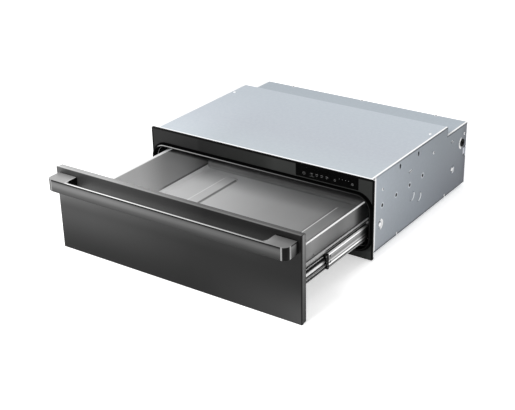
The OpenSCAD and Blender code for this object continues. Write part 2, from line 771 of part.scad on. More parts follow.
// Rubber grommet for the supply cord
module cable_grommet() color("#141414")
    difference() {
        union() {
            bar_x([half_w, grommet_y, grommet_z], grommet_r, grommet_flange);
            bar_x([wall_x - grommet_flange, grommet_y, grommet_z], grommet_hole - screw_gap,
                sheet + 2 * grommet_flange);
            bar_x([wall_x - grommet_flange, grommet_y, grommet_z], grommet_r - steel, grommet_flange);
        }
        bar_x([wall_x - grommet_flange - over, grommet_y, grommet_z], grommet_bore,
            sheet + 2 * (grommet_flange + over));
    }

module slide_screws() color("#d6d8da")
    both() for (y = slide_screw_places)
        side_screw(slide_x + sheet, y, slide_z, slide_head_r, slide_head_t, slide_screw_r, sheet + steel);

module case_screws() color("#d6d8da") {
    both() for (p = side_screws)
        side_screw(half_w, p.x, p.y, case_head_r, case_head_t, case_screw_r, case_screw_l);
    both() {
        bar_z([half_w - top_screw_in, top_screw_y, cabinet_h], case_head_r, case_head_t);
        bar_z([half_w - top_screw_in, top_screw_y, cabinet_h - case_screw_l], case_screw_r,
            case_screw_l + case_head_t / 2);
    }
    for (x = rear_screws_x) {
        bar_y([x, rear_y + rear_lip, low_top - rear_lip_h / 2], case_head_r, case_head_t);
        bar_y([x, rear_y - case_screw_l, low_top - rear_lip_h / 2], case_screw_r,
            case_screw_l + rear_lip + case_head_t / 2);
        bar_y([x, rear_y, rear_screw_z], case_head_r, case_head_t);
        bar_y([x, rear_y - case_screw_l, rear_screw_z], case_screw_r, case_screw_l + case_head_t / 2);
    }
}

// Slides, each section drawn for its upper half and mirrored for the lower

function full_section(half) = concat(half, [for (i = [len(half) - 1 : -1 : 0]) [half[i].x, -half[i].y]]);

// A slide section pushed back along Y on the right-hand side
module slide_bar(half, y0, l)
    translate([slide_x, y0 + l, slide_z]) rotate([90, 0, 0]) linear_extrude(l) mirror([1, 0])
        polygon(full_section(half));

outer_half = [[0, 0], [0, outer_v], [outer_reach, outer_v], [outer_reach, outer_v - outer_lip],
    [outer_reach - steel, outer_v - outer_lip], [outer_reach - steel, outer_v - steel],
    [steel, outer_v - steel], [steel, 0]];
mid_half = [[mid_u, 0], [mid_u, mid_groove - steel - mid_web_edge], [mid_u_front, mid_groove - steel - mid_fold_edge],
    [mid_u_front, mid_groove + mid_shoulder], [mid_u_front + steel, mid_groove + mid_shoulder],
    [mid_u_front + steel, mid_groove], [outer_reach, mid_groove],
    [outer_reach, mid_groove - steel - mid_lip], [outer_reach - steel, mid_groove - steel - mid_lip],
    [outer_reach - steel, mid_groove - steel], [mid_u + steel, mid_groove - steel], [mid_u + steel, 0]];
inner_half = [[inner_u - bead_depth, 0], [inner_u - bead_depth, bead_v], [inner_u, bead_v + bead_depth],
    [inner_u, inner_flange - steel], [inner_tip, inner_flange - steel], [inner_tip, inner_flange],
    [inner_u, inner_flange], [inner_u, inner_v], [slide_t, inner_v], [slide_t, bead_v + bead_depth - bead_bend],
    [slide_t - bead_depth, bead_v - bead_bend], [slide_t - bead_depth, 0]];

// Outer member, screwed to the dimples of the cabinet's side
module outer_slide() color("#c4c8cc")
    difference() {
        slide_bar(outer_half, outer_y, slide_l);
        for (y = slide_screw_places)
            bar_x([slide_x - steel - over, y, slide_z], slide_screw_r + screw_gap, steel + 2 * over);
    }

// Middle member, with two holes near its front end
module middle_slide() color("#d9dcdf")
    difference() {
        slide_bar(mid_half, mid_y, mid_l);
        for (v = mid_holes_v)
            bar_x([slide_x - mid_u - steel - over, mid_y + mid_hole_y, slide_z + v], mid_hole_r,
                steel + mid_fold + 2 * over);
    }

// Black end piece on the middle member, deeper at its top
module end_bumper() color("#101112")
    difference() {
        slab_x(slide_x - outer_reach, outer_reach - mid_u_front)
            polygon([[mid_y - bumper_low, slide_z - bumper_v], [mid_y, slide_z - bumper_v],
                [mid_y, slide_z + bumper_v], [mid_y - bumper_top, slide_z + bumper_v]]);
        box([slide_x - outer_reach - over, mid_y - bumper_top - over, slide_z - mid_groove + steel + mid_lip],
            [slide_x - mid_u_front - bumper_web, mid_y + over, slide_z + mid_groove - steel - mid_lip]);
    }

// Inner member, riveted to the drawer's rail
module inner_slide() color("#d9dcdf")
    difference() {
        slide_bar(inner_half, inner_y, slide_l);
        for (s = rivet_shares)
            bar_x([slide_x - slide_t - over, inner_y + s * slide_l, slide_z + rivet_v], rivet_r / 2 + screw_gap,
                steel + 2 * over);
    }

// Places of the balls along a cage of length l
function ball_rows(l) = [for (y = [ball_pitch / 2 : ball_pitch : l - ball_pitch / 2]) y];

module ball_set(y0, l, v) color("#e8eaec")
    for (y = ball_rows(l), s = [-1, 1])
        translate([slide_x - ball_u, y0 + y, slide_z + s * v]) sphere(ball_r);

// Cage strip bent to reach both rows of balls, with a pocket for each ball
module ball_cage(y0, l, u0, v_ball, v_strip) color("#8f9498")
    difference() {
        union() {
            box([slide_x - u0 - cage_t, y0, slide_z - v_strip], [slide_x - u0, y0 + l, slide_z + v_strip]);
            for (s = [-1, 1])
                box([slide_x - ball_u - ball_r + cage_edge, y0, slide_z + s * (v_strip - cage_t / 2) - cage_t / 2],
                    [slide_x - u0, y0 + l, slide_z + s * (v_strip - cage_t / 2) + cage_t / 2]);
        }
        for (y = ball_rows(l), s = [-1, 1])
            translate([slide_x - ball_u, y0 + y, slide_z + s * v_ball]) sphere(ball_r + screw_gap);
    }

outer_ball_v = mid_groove + ball_r + running;
inner_ball_v = inner_flange + ball_r + running;

module outer_cage() ball_cage(outer_cage_y, outer_cage_l, cage_u, outer_ball_v, outer_ball_v + cage_rise + cage_t / 2);
module inner_cage() ball_cage(inner_cage_y, inner_cage_l, inner_cage_u, inner_ball_v, inner_ball_v + cage_t / 2);

module right_outer_slide() outer_slide();
module left_outer_slide() left() outer_slide();
module right_middle_slide() middle_slide();
module left_middle_slide() left() middle_slide();
module right_bumper() end_bumper();
module left_bumper() left() end_bumper();
module right_outer_cage() outer_cage();
module left_outer_cage() left() outer_cage();
module right_inner_cage() inner_cage();
module left_inner_cage() left() inner_cage();
module right_outer_balls() ball_set(outer_cage_y, outer_cage_l, outer_ball_v);
module left_outer_balls() left() ball_set(outer_cage_y, outer_cage_l, outer_ball_v);
module right_inner_balls() ball_set(inner_cage_y, inner_cage_l, inner_ball_v);
module left_inner_balls() left() ball_set(inner_cage_y, inner_cage_l, inner_ball_v);
module right_inner_slide() inner_slide();
module left_inner_slide() left() inner_slide();

// Outer front and handle

// Places of the handle screws
function handle_screw_places() = [for (s = [-1, 1], t = [-1, 1])
    [s * (handle_w / 2 - block_w / 2), handle_top - handle_h / 2 + t * handle_screw_z]];

// Brushed outer skin, folded back round its edges
module front_skin() color("#3d3d3e")
    difference() {
        box([-panel_w / 2, panel_y, panel_z0], [panel_w / 2, panel_y + skin_return, panel_z1]);
        box([front_sheet - panel_w / 2, panel_y + front_sheet, panel_z0 + front_sheet],
            [panel_w / 2 - front_sheet, panel_y + skin_return + over, panel_z1 - front_sheet]);
        for (p = handle_screw_places())
            bar_y([p.x, panel_y - over, p.y], handle_screw_r + screw_gap, front_sheet + 2 * over);
    }

// Inner shell of the front, nested in the skin
module front_backing() color("#55575a")
    difference() {
        box([front_sheet - panel_w / 2, panel_y + skin_return - backing_lap, panel_z0 + front_sheet],
            [panel_w / 2 - front_sheet, back_y, panel_z1 - front_sheet]);
        box([2 * front_sheet - panel_w / 2, panel_y + skin_return - backing_lap - over, panel_z0 + 2 * front_sheet],
            [panel_w / 2 - 2 * front_sheet, back_y - front_sheet, panel_z1 - 2 * front_sheet]);
        both() for (t = bracket_screw_shares)
            bar_y([frame_x + bracket_w / 2, back_y - front_sheet - over, bracket_z + t * bracket_h],
                bracket_screw_r + screw_gap, front_sheet + 2 * over);
    }

module front_insulation() color("#e6e2c8")
    difference() {
        box([2 * front_sheet - panel_w / 2, panel_y + front_sheet, panel_z0 + 2 * front_sheet],
            [panel_w / 2 - 2 * front_sheet, back_y - front_sheet, panel_z1 - 2 * front_sheet]);
        for (p = handle_screw_places())
            bar_y([p.x, panel_y, p.y], handle_screw_head + fit_gap, front_sheet + handle_head_t + fit_gap);
        both() for (t = bracket_screw_shares)
            bar_y([frame_x + bracket_w / 2, back_y - handle_head_t - 2 * front_sheet, bracket_z + t * bracket_h],
                bracket_screw_r + fit_gap, 2 * handle_head_t);
    }

// Plan of the handle: a bar with an end block at each end
module handle_plan() {
    y0 = panel_y - handle_reach;
    y1 = panel_y - spacer_t;
    difference() {
        union() {
            translate([-handle_w / 2, y0 + handle_corner]) square([handle_w, y1 - y0 - handle_corner]);
            translate([handle_corner - handle_w / 2, y0]) square([handle_w - 2 * handle_corner, handle_corner + bar_t]);
            for (s = [-1, 1])
                translate([s * (handle_w / 2 - handle_corner), y0 + handle_corner]) circle(handle_corner);
        }
        translate([block_w - handle_w / 2, y0 + bar_t + block_fillet])
            square([handle_w - 2 * block_w, y1 - y0]);
        translate([block_w + block_fillet - handle_w / 2, y0 + bar_t])
            square([handle_w - 2 * (block_w + block_fillet), 2 * block_fillet]);
        for (s = [-1, 1])
            translate([s * (handle_w / 2 - block_w - block_fillet), y0 + bar_t + block_fillet])
                circle(block_fillet);
    }
}

module handle() color("#6b6c6e")
    difference() {
        translate([0, 0, handle_top - handle_h]) linear_extrude(handle_h) handle_plan();
        for (p = handle_screw_places())
            bar_y([p.x, panel_y - handle_screw_l - over, p.y], handle_screw_r + screw_gap, handle_screw_l + 2 * over);
    }

// Black spacers under the end blocks
module handle_spacers() color("#0e0e0f")
    difference() {
        both() box([handle_w / 2 - block_w + spacer_inset, panel_y - spacer_t, handle_top - handle_h + spacer_inset],
            [handle_w / 2 - spacer_inset, panel_y, handle_top - spacer_inset]);
        for (p = handle_screw_places())
            bar_y([p.x, panel_y - spacer_t - over, p.y], handle_screw_r + screw_gap, spacer_t + 2 * over);
    }

module handle_screws() color("#a9acb0")
    for (p = handle_screw_places()) {
        bar_y([p.x, panel_y - handle_screw_l, p.y], handle_screw_r, handle_screw_l + front_sheet + handle_head_t / 2);
        bar_y([p.x, panel_y + front_sheet, p.y], handle_screw_head, handle_head_t);
    }

// Drawer box

// Cross-section of the pan, without its rim, down to a floor at z and with a bend radius
module pan_outline(x, z, r) {
    translate([-x, z + r]) square([2 * x, rim_z + over - z - r]);
    translate([r - x, z]) square([2 * (x - r), rim_z + over - z]);
    for (s = [-1, 1]) translate([s * (x - r), z + r]) circle(r);
}

// Plan of the two raised ribs, drawn in by a margin
module rib_plan(inset)
    for (x = [-left_rib_x, right_rib_x])
        round_rect([x - rib_w / 2 + inset, pan_front_y + rib_end + inset],
            [x + rib_w / 2 - inset, pan_back_y - rib_end - inset], rib_corner - inset);

// Steel pan: bent floor and sides, flat ends, a rim on three sides and two ribs
module drawer_pan() color("#b9bbbd")
    difference() {
        union() {
            difference() {
                slab_y(back_y, pan_d + 2 * pan_t) pan_outline(pan_x + pan_t, floor_z - pan_t, pan_r);
                slab_y(pan_front_y, pan_d) pan_outline(pan_x, floor_z, pan_r - pan_t);
                box([-pan_x - rim_w, back_y - over, rim_z], [pan_x + rim_w, pan_back_y + rim_w, rim_z + 2 * over]);
            }
            both() box([pan_x, back_y, rim_z - pan_t], [pan_x + rim_w, pan_back_y + rim_w, rim_z]);
            box([-pan_x - rim_w, pan_back_y, rim_z - pan_t], [pan_x + rim_w, pan_back_y + rim_w, rim_z]);
            translate([0, 0, floor_z - pan_t]) linear_extrude(rib_h + pan_t) rib_plan(0);
        }
        translate([0, 0, floor_z - pan_t - over]) linear_extrude(rib_h + over) rib_plan(pan_t);
    }

// Side sheet outside the pan, with a slot above the rail
module side_frame() color("#8d8f91")
    difference() {
        box([frame_x - frame_t, back_y, frame_z], [frame_x, rear_frame_y + frame_t, rim_z - pan_t]);
        box([frame_x - frame_t - over, back_y + tab_slot_y, rail_top + tab_slot_rise],
            [frame_x + over, back_y + tab_slot_y + tab_slot.x, rail_top + tab_slot_rise + tab_slot.y]);
    }

module right_side_frame() side_frame();
module left_side_frame() left() side_frame();

module rear_frame() color("#8d8f91")
    box([frame_t - frame_x, rear_frame_y, frame_z], [frame_x - frame_t, rear_frame_y + frame_t, rim_z - pan_t]);

// Channel that carries the inner slide member away from the side sheet
module rail() color("#c9cbcd")
    difference() {
        box([frame_x, back_y + rail_front, rail_low], [rail_x, rear_frame_y, rail_top]);
        box([frame_x - over, back_y + rail_front - over, rail_low + rail_t],
            [rail_x - rail_t, rear_frame_y + over, rail_top - rail_t]);
        for (s = rivet_shares)
            bar_x([rail_x - rail_t - over, inner_y + s * slide_l, slide_z + rivet_v], rivet_r / 2 + screw_gap,
                rail_t + 2 * over);
    }

module right_rail() rail();
module left_rail() left() rail();

module slide_rivets() color("#d6d8da")
    both() for (s = rivet_shares) {
        bar_x([slide_x - inner_u, inner_y + s * slide_l, slide_z + rivet_v], rivet_r, rivet_t);
        bar_x([rail_x - rail_t, inner_y + s * slide_l, slide_z + rivet_v], rivet_r / 2,
            rail_t + steel + rivet_t / 2);
        bar_x([rail_x - rail_t - rivet_t, inner_y + s * slide_l, slide_z + rivet_v], rivet_r, rivet_t);
    }

// Angles that fasten the side sheets to the outer front
module front_brackets() color("#a4a6a8")
    both() difference() {
        union() {
            box([frame_x, back_y, bracket_z], [frame_x + bracket_w, back_y + bracket_t, bracket_z + bracket_h]);
            box([frame_x, back_y, bracket_z], [frame_x + bracket_t, back_y + bracket_w, bracket_z + bracket_h]);
        }
        for (t = bracket_screw_shares)
            bar_y([frame_x + bracket_w / 2, back_y - over, bracket_z + t * bracket_h],
                bracket_screw_r + screw_gap, bracket_t + 2 * over);
    }

module front_screws() color("#d6d8da")
    both() for (t = bracket_screw_shares) {
        bar_y([frame_x + bracket_w / 2, back_y + bracket_t, bracket_z + t * bracket_h], bracket_head_r,
            bracket_head_t);
        bar_y([frame_x + bracket_w / 2, back_y - handle_head_t, bracket_z + t * bracket_h], bracket_screw_r,
            handle_head_t + bracket_t + bracket_head_t / 2);
    }

base_pan();
left_side();
right_side();
top_panel();
rear_panel();
mount_flange();
bezel();
mouth_seal();
touch_glass();
touch_board();
glass_carrier();
ceiling_liner();
ceiling_insulation();
floor_insulation();
heat_reflector();
heating_element();
element_clips();
temperature_sensor();
thermal_cutout();
electronics_tray();
power_board();
board_parts();
board_standoffs();
terminal_block();
wire_leads();
cable_grommet();
slide_screws();
case_screws();
left_outer_slide();
right_outer_slide();
left_middle_slide();
right_middle_slide();
left_bumper();
right_bumper();
left_outer_cage();
right_outer_cage();
left_inner_cage();
right_inner_cage();
left_outer_balls();
right_outer_balls();
left_inner_balls();
right_inner_balls();
front_skin();
front_backing();
front_insulation();
handle();
handle_spacers();
handle_screws();
drawer_pan();
left_side_frame();
right_side_frame();
rear_frame();
left_rail();
right_rail();
left_inner_slide();
right_inner_slide();
slide_rivets();
front_brackets();
front_screws();
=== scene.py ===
import math

import bmesh
import bpy
import numpy as np
from mathutils import Matrix, Vector


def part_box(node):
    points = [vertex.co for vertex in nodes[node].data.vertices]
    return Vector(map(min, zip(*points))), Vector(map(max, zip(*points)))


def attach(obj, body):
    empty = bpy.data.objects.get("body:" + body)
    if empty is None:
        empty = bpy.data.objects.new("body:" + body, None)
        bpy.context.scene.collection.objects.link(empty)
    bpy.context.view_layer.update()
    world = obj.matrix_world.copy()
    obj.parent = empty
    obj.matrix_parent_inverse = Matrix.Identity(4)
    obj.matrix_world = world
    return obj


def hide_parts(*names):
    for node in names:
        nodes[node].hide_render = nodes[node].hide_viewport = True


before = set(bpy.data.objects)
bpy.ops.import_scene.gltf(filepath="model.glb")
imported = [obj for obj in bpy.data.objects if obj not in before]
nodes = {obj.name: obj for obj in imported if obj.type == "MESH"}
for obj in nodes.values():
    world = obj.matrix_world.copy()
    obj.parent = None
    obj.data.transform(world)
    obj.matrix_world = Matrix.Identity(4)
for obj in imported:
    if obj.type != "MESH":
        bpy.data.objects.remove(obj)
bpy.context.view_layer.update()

# A built-in warming drawer, drawn out on its slides. Lengths are in millimetres, in the cabinet's frame:
# +X right, +Y back, +Z up, origin at the centre of the cabinet's underside.
MM = 0.001
scene = bpy.context.scene

RIGHT, BACK, UP = (1, 0, 0), (0, 1, 0), (0, 0, 1)
# Planes that a flat outline can lie in: where its first and second directions and its rise point
FRONT = (RIGHT, UP, BACK)
PLAN = (RIGHT, BACK, UP)


def span(name):
    """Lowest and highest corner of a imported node, in millimetres to three decimals."""
    return np.round(np.array(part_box(name)) / MM, 3)


# Colours and shader nodes

def linear(code):
    """Turn an sRGB hex value into linear red, green, blue and alpha."""
    channels = [int(code[i:i + 2], 16) / 255 for i in (1, 3, 5)]
    return [c / 12.92 if c <= 0.04045 else ((c + 0.055) / 1.055) ** 2.4 for c in channels] + [1.0]


def add(tree, kind, sockets=None, stops=None, **settings):
    """Add a shader node, set its properties and ramp stops, then fill its sockets with values or links."""
    made = tree.nodes.new("ShaderNode" + kind)
    for name, value in settings.items():
        setattr(made, name, value)
    if stops:
        ramp = made.color_ramp
        while len(ramp.elements) < len(stops):
            ramp.elements.new(1.0)
        for element, (at, code) in zip(ramp.elements, stops):
            element.position = at
            element.color = linear(code)
    for key, value in (sockets or {}).items():
        if isinstance(value, bpy.types.NodeSocket):
            tree.links.new(value, made.inputs[key])
        else:
            made.inputs[key].default_value = value
    return made


def finish(name, colour, roughness, metallic=0.0, shine=0.5):
    """Start a finish: its material, node tree, shader and the place of each point in millimetres."""
    made = bpy.data.materials.new(name)
    made.use_nodes = True
    tree = made.node_tree
    shader = tree.nodes["Principled BSDF"]
    for key, value in (("Base Color", linear(colour)), ("Roughness", roughness), ("Metallic", metallic),
                       ("Specular IOR Level", shine)):
        shader.inputs[key].default_value = value
    in_metres = add(tree, "TexCoord").outputs["Object"]
    place = add(tree, "VectorMath", {0: in_metres, "Scale": 1 / MM}, operation="SCALE")
    return made, tree, shader, place.outputs[0]


def where(tree, *edges):
    """How far each point lies past all the given soft edges, from 0 to 1.

    An edge is a value, where it starts to count and where it counts in full, and perhaps the numbers to
    give at those two places. The numbers of all edges are multiplied.
    """
    share = None
    for value, *limits in edges:
        past = add(tree, "MapRange", {0: value, **dict(enumerate(limits, 1))},
                   interpolation_type="SMOOTHSTEP").outputs[0]
        if share is not None:
            past = add(tree, "Math", {0: share, 1: past}, operation="MULTIPLY").outputs[0]
        share = past
    return share


def layers(tree, base, *coats):
    """A colour with coats laid over it in turn, each with its share and perhaps a way of blending."""
    for share, coat, *blending in coats:
        base, coat = (linear(colour) if isinstance(colour, str) else colour for colour in (base, coat))
        base = add(tree, "Mix", {0: share, 6: base, 7: coat}, data_type="RGBA",
                   blend_type=blending[0] if blending else "MIX").outputs[2]
    return base


def bands(tree, value, places):
    """Colours that change at the given places along a value."""
    low, high = places[0][0], places[-1][0]
    along = add(tree, "MapRange", {0: value, 1: low, 2: high})
    stops = [((at - low) / (high - low), code) for at, code in places]
    return add(tree, "ValToRGB", {0: along.outputs[0]}, stops=stops).outputs[0]


def facing(tree, way):
    """How squarely the surface faces a way, from -1 to 1."""
    normal = add(tree, "NewGeometry").outputs["Normal"]
    return add(tree, "VectorMath", {0: normal, 1: way}, operation="DOT_PRODUCT").outputs["Value"]


def turned_to(tree, way, low=0.4, high=0.8):
    """Where the surface faces a way, from 0 to 1."""
    return where(tree, (facing(tree, way), low, high))


def sideways(tree):
    """How squarely the surface faces left or right, from 0 to 1."""
    return add(tree, "Math", {0: facing(tree, RIGHT)}, operation="ABSOLUTE").outputs[0]


def from_middle(tree, place):
    """How far each point lies from the middle, to the left or right."""
    across = add(tree, "SeparateXYZ", {0: place}).outputs["X"]
    return add(tree, "Math", {0: across}, operation="ABSOLUTE").outputs[0]


def from_line(tree, place, point, across=(0, 1, 1)):
    """Distance of each point from a line through a point: along X, or with (1, 1, 0) along Z."""
    flat = add(tree, "VectorMath", {0: place, 1: across}, operation="MULTIPLY")
    return add(tree, "VectorMath", {0: flat.outputs[0], 1: point}, operation="DISTANCE").outputs["Value"]


def grain(tree, place, pitch, detail=3.0, seed=0.0):
    """Noise whose features have the given pitch along X, Y and Z in millimetres, from 0 to 1."""
    stretched = add(tree, "VectorMath", {0: place, 1: [1 / p for p in pitch]}, operation="MULTIPLY")
    moved = add(tree, "VectorMath", {0: stretched.outputs[0], 1: [seed, seed, seed]}, operation="ADD")
    return add(tree, "TexNoise", {"Vector": moved.outputs[0], "Scale": 1.0, "Detail": detail}).outputs["Fac"]


def dress(tree, shader, colour, roughness, height, depth):
    """Link a colour and a roughness pattern to the shader, and a relief that is depth millimetres deep."""
    if colour is not None:
        tree.links.new(colour, shader.inputs["Base Color"])
    tree.links.new(roughness, shader.inputs["Roughness"])
    bump = add(tree, "Bump", {"Height": height, "Distance": depth * MM, "Strength": 1.0})
    tree.links.new(bump.outputs[0], shader.inputs["Normal"])


# Kinds of finish

def zinc_sheet(name, tone):
    """Zinc-coated sheet steel: a smooth cool grey with a faint mottle, a little duller where rolled."""
    made, tree, shader, place = finish(name, "#c2c9d1", 0.5, 0.15)
    spangle_size, roller_grit = 9, 1.2
    mottle = grain(tree, place, [spangle_size] * 3, 4.0)
    spangle = bands(tree, mottle, [(0.3, "#5c6670"), (0.7, "#ffffff")])
    dress(tree, shader, layers(tree, tone(tree, place), (0.06, spangle, "OVERLAY")),
          where(tree, (mottle, 0.2, 0.8, 0.46, 0.58)), grain(tree, place, [roller_grit] * 3, 2.0, 7.0), 0.01)
    return made


def brushed(name, colour, along, roughness, metallic, contrast, tone=None, shine=0.5):
    """Brushed metal: fine parallel scratches along one axis, which catch the light as thin streaks.

    Real scratches lie some 0.1 mm apart, too fine to show in the picture, so they are drawn coarser.
    """
    made, tree, shader, place = finish(name, colour, roughness, metallic, shine)
    length, pitch = 140, 0.5
    scratches = grain(tree, place, [length if letter == along else pitch for letter in "XYZ"], 4.0)
    base = tone(tree, place) if tone else linear(colour)
    streaks = bands(tree, scratches, [(0.25, "#4a4a4a"), (0.75, "#b6b6b6")])
    dress(tree, shader, layers(tree, base, (contrast, streaks, "OVERLAY")),
          where(tree, (scratches, 0.2, 0.8, roughness - 0.06, roughness + 0.08)), scratches, 0.01)
    return made


def moulded(name, colour, roughness, pitch=0.8, depth=0.015, tone=None, shine=0.5):
    """Moulded plastic or rubber, or a coat of paint: one colour with a fine grain."""
    made, tree, shader, place = finish(name, colour, roughness, 0.0, shine)
    texture = grain(tree, place, [pitch] * 3)
    dress(tree, shader, tone(tree, place) if tone else None,
          where(tree, (texture, 0.2, 0.8, roughness - 0.05, roughness + 0.05)), texture, depth)
    return made


# Tones: how each piece's colour changes over it

# Places that the tones follow, with the sides' holes, screws and marks along Y and Z
CABINET_TOP, STEP_TOP, STEP_Y = 215, 188, 150.5
REAR_SCREWS_X, REAR_LIP_Y = (-250, 0, 250), 281
SIDE_HOLES_Y, SIDE_HOLES_Z = (-220, -144.7, -69.4, 5.9), 122
SIDE_SCREWS = ((-221, 167.6), (66.9, 167.1), (262.9, 158.6), (-136, 5.6), (150, 5.6))
FRONT_DIMPLE, PUNCH_MARK, GROMMET = (0, -229, 70), (0, -230, 76), (0, 250, 134.2)
TAB_RELIEFS = ((0, 267, 117), (0, 267, 91.5))
BUMPER_RIVETS = ((0, -464.8, 81.5), (0, -464.8, 65))
BRIGHT, UNLIT = "#f4f7fa", "#06080a"  # painted highlight on sheet that faces the light, and painted shade inside a mark or recess


def top_tone(tree, place):
    """Cabinet top: painted light, paler at its front left and a little deeper on the rear step, with painted
    highlights along its folds.
    """
    x, y, z = add(tree, "SeparateXYZ", {0: place}).outputs
    left = bands(tree, y, [(-276, "#c9d1d8"), (-120, "#c0c7cf"), (100, "#bac2ca"), (280, "#bcc4cc")])
    right = bands(tree, y, [(-276, "#b7bfc5"), (-120, "#b5bbc3"), (100, "#b9c1c9"), (280, "#c2cad2")])
    upper = layers(tree, left, (where(tree, (x, -330, -120)), right))
    # Round each of the rear lip's screws: a painted highlight ring, and painted shade just inside it
    screw_ring_shading = []
    for screw_x in REAR_SCREWS_X:
        ring = from_line(tree, place, (screw_x, REAR_LIP_Y, 0), (1, 1, 0))
        screw_ring_shading += [(where(tree, (ring, 6.5, 5.5)), BRIGHT), (where(tree, (ring, 4.5, 3.8)), "#3a4046")]
    # Painted highlights along the front fold and the side folds, and painted shade on faces turned to the
    # right
    return layers(tree, "#aab3bb", (where(tree, (z, 190, 212)), upper), *screw_ring_shading,
                  (where(tree, (y, -268, -271)), BRIGHT),
                  (where(tree, (from_middle(tree, place), 343.0, 344.6)), "#ffffff"),
                  (turned_to(tree, RIGHT, 0.5, 0.8), "#8a9097"))


def side_tone(tree, place):
    """Cabinet side: painted light that deepens towards the rear and the foot, painted shade in its openings
    and painted highlights on the dimples.
    """
    x, y, z = add(tree, "SeparateXYZ", {0: place}).outputs
    high = bands(tree, y, [(-280, "#b0b8c0"), (-60, "#959ca4"), (120, "#858c93"), (240, "#7f868d"),
                           (280, "#6c6f78")])
    low = bands(tree, y, [(-280, "#a0a6ad"), (-60, "#8e959d"), (120, "#787e86"), (240, "#6a6f77"),
                          (280, "#585b64")])
    # How far each point lies under the folded top edge, where a band of painted shade runs
    fold = where(tree, (y, STEP_Y - 0.3, STEP_Y + 0.3, CABINET_TOP, STEP_TOP))
    below_fold = add(tree, "Math", {0: fold, 1: z}, operation="SUBTRACT").outputs[0]
    # The front dimple is struck deepest: a painted highlight crescent round its far side, and painted shade
    # in its punch mark
    dimple = from_line(tree, place, FRONT_DIMPLE)
    sheet = layers(
        tree, low, (where(tree, (z, 20, 190)), high),
        # A painted highlight at the front fold, the flange's painted shadow before it, and painted shade
        # along the foot
        (where(tree, (y, -252, -257.5)), "#ffffff"), (where(tree, (y, -262.5, -264.5)), "#0c0d0e"),
        (where(tree, (below_fold, 5.4, 3.6), (y, -256, 20, 0.4, 1)), "#454b52"),
        (where(tree, (z, 5.5, 4.0)), "#5c6068"),
        # The dimples' far walls face the light, from the front and above
        (turned_to(tree, (0, -0.85, 0.52), 0.35, 0.65), BRIGHT),
        (turned_to(tree, (0, 0.85, -0.52), 0.35, 0.65), "#50565d"),
        (where(tree, (dimple, 9, 10.5), (dimple, 16.5, 15), (y, -230, -222)), "#ffffff"),
        (where(tree, (from_line(tree, place, PUNCH_MARK), 4.4, 3.6)), UNLIT),
        # A painted highlight on the rear corner's tab, and painted shade in the two bend reliefs beside it
        (where(tree, (z, 93, 95), (z, 114, 112), (y, 259, 262)), "#d2d4dd"),
        *((where(tree, (from_line(tree, place, notch), 4.2, 3.2)), UNLIT) for notch in TAB_RELIEFS))
    # Painted shade on the sheet edges inside the holes, vents and tab window, reaching a little past each
    # hole's edge, and a pale painted highlight ring round each hole
    openings = where(tree, (sideways(tree), 0.35, 0.2), (below_fold, 1.0, 3.0))
    for hole_y in SIDE_HOLES_Y:
        ring = from_line(tree, place, (0, hole_y, SIDE_HOLES_Z))
        sheet = layers(tree, sheet, (where(tree, (ring, 10, 7, 0, 0.45)), "#e8edf2"))
        opening = where(tree, (ring, 5.6, 4.8))
        openings = add(tree, "Math", {0: openings, 1: opening}, operation="MAXIMUM").outputs[0]
    # A painted highlight ring round the grommet's front side, and painted light and shade on the louvres'
    # lips: pale where they face up, dark elsewhere
    ring = from_line(tree, place, GROMMET)
    lip = layers(tree, "#14171a", (turned_to(tree, UP, -0.2, 0.3), "#eef2f6"))
    return layers(tree, sheet, (openings, "#040506"),
                  (where(tree, (ring, 19.5, 18.0), (ring, 11.0, 12.0), (y, 250, 244)), "#ffffff"),
                  (where(tree, (x, 349.8, 350.2)), lip))


def plain_tone(tree, place):
    """Plain sides of the cabinet: an even mid grey outside, and unlit inside the left wall."""
    x, y, _ = add(tree, "SeparateXYZ", {0: place}).outputs
    outside = bands(tree, y, [(-280, "#bcc3cb"), (280, "#a9b0b9")])
    return layers(tree, outside, (where(tree, (facing(tree, RIGHT), 0.4, 0.8), (x, -300, -330)), "#0c0d0e"))


def flange_tone(tree, place):
    """Mounting flange: a painted highlight along its cut edge, painted shade under the cabinet."""
    _, _, z = add(tree, "SeparateXYZ", {0: place}).outputs
    return bands(tree, z, [(-8, "#202122"), (-1, "#202122"), (1, "#ffffff"), (219, "#ffffff")])


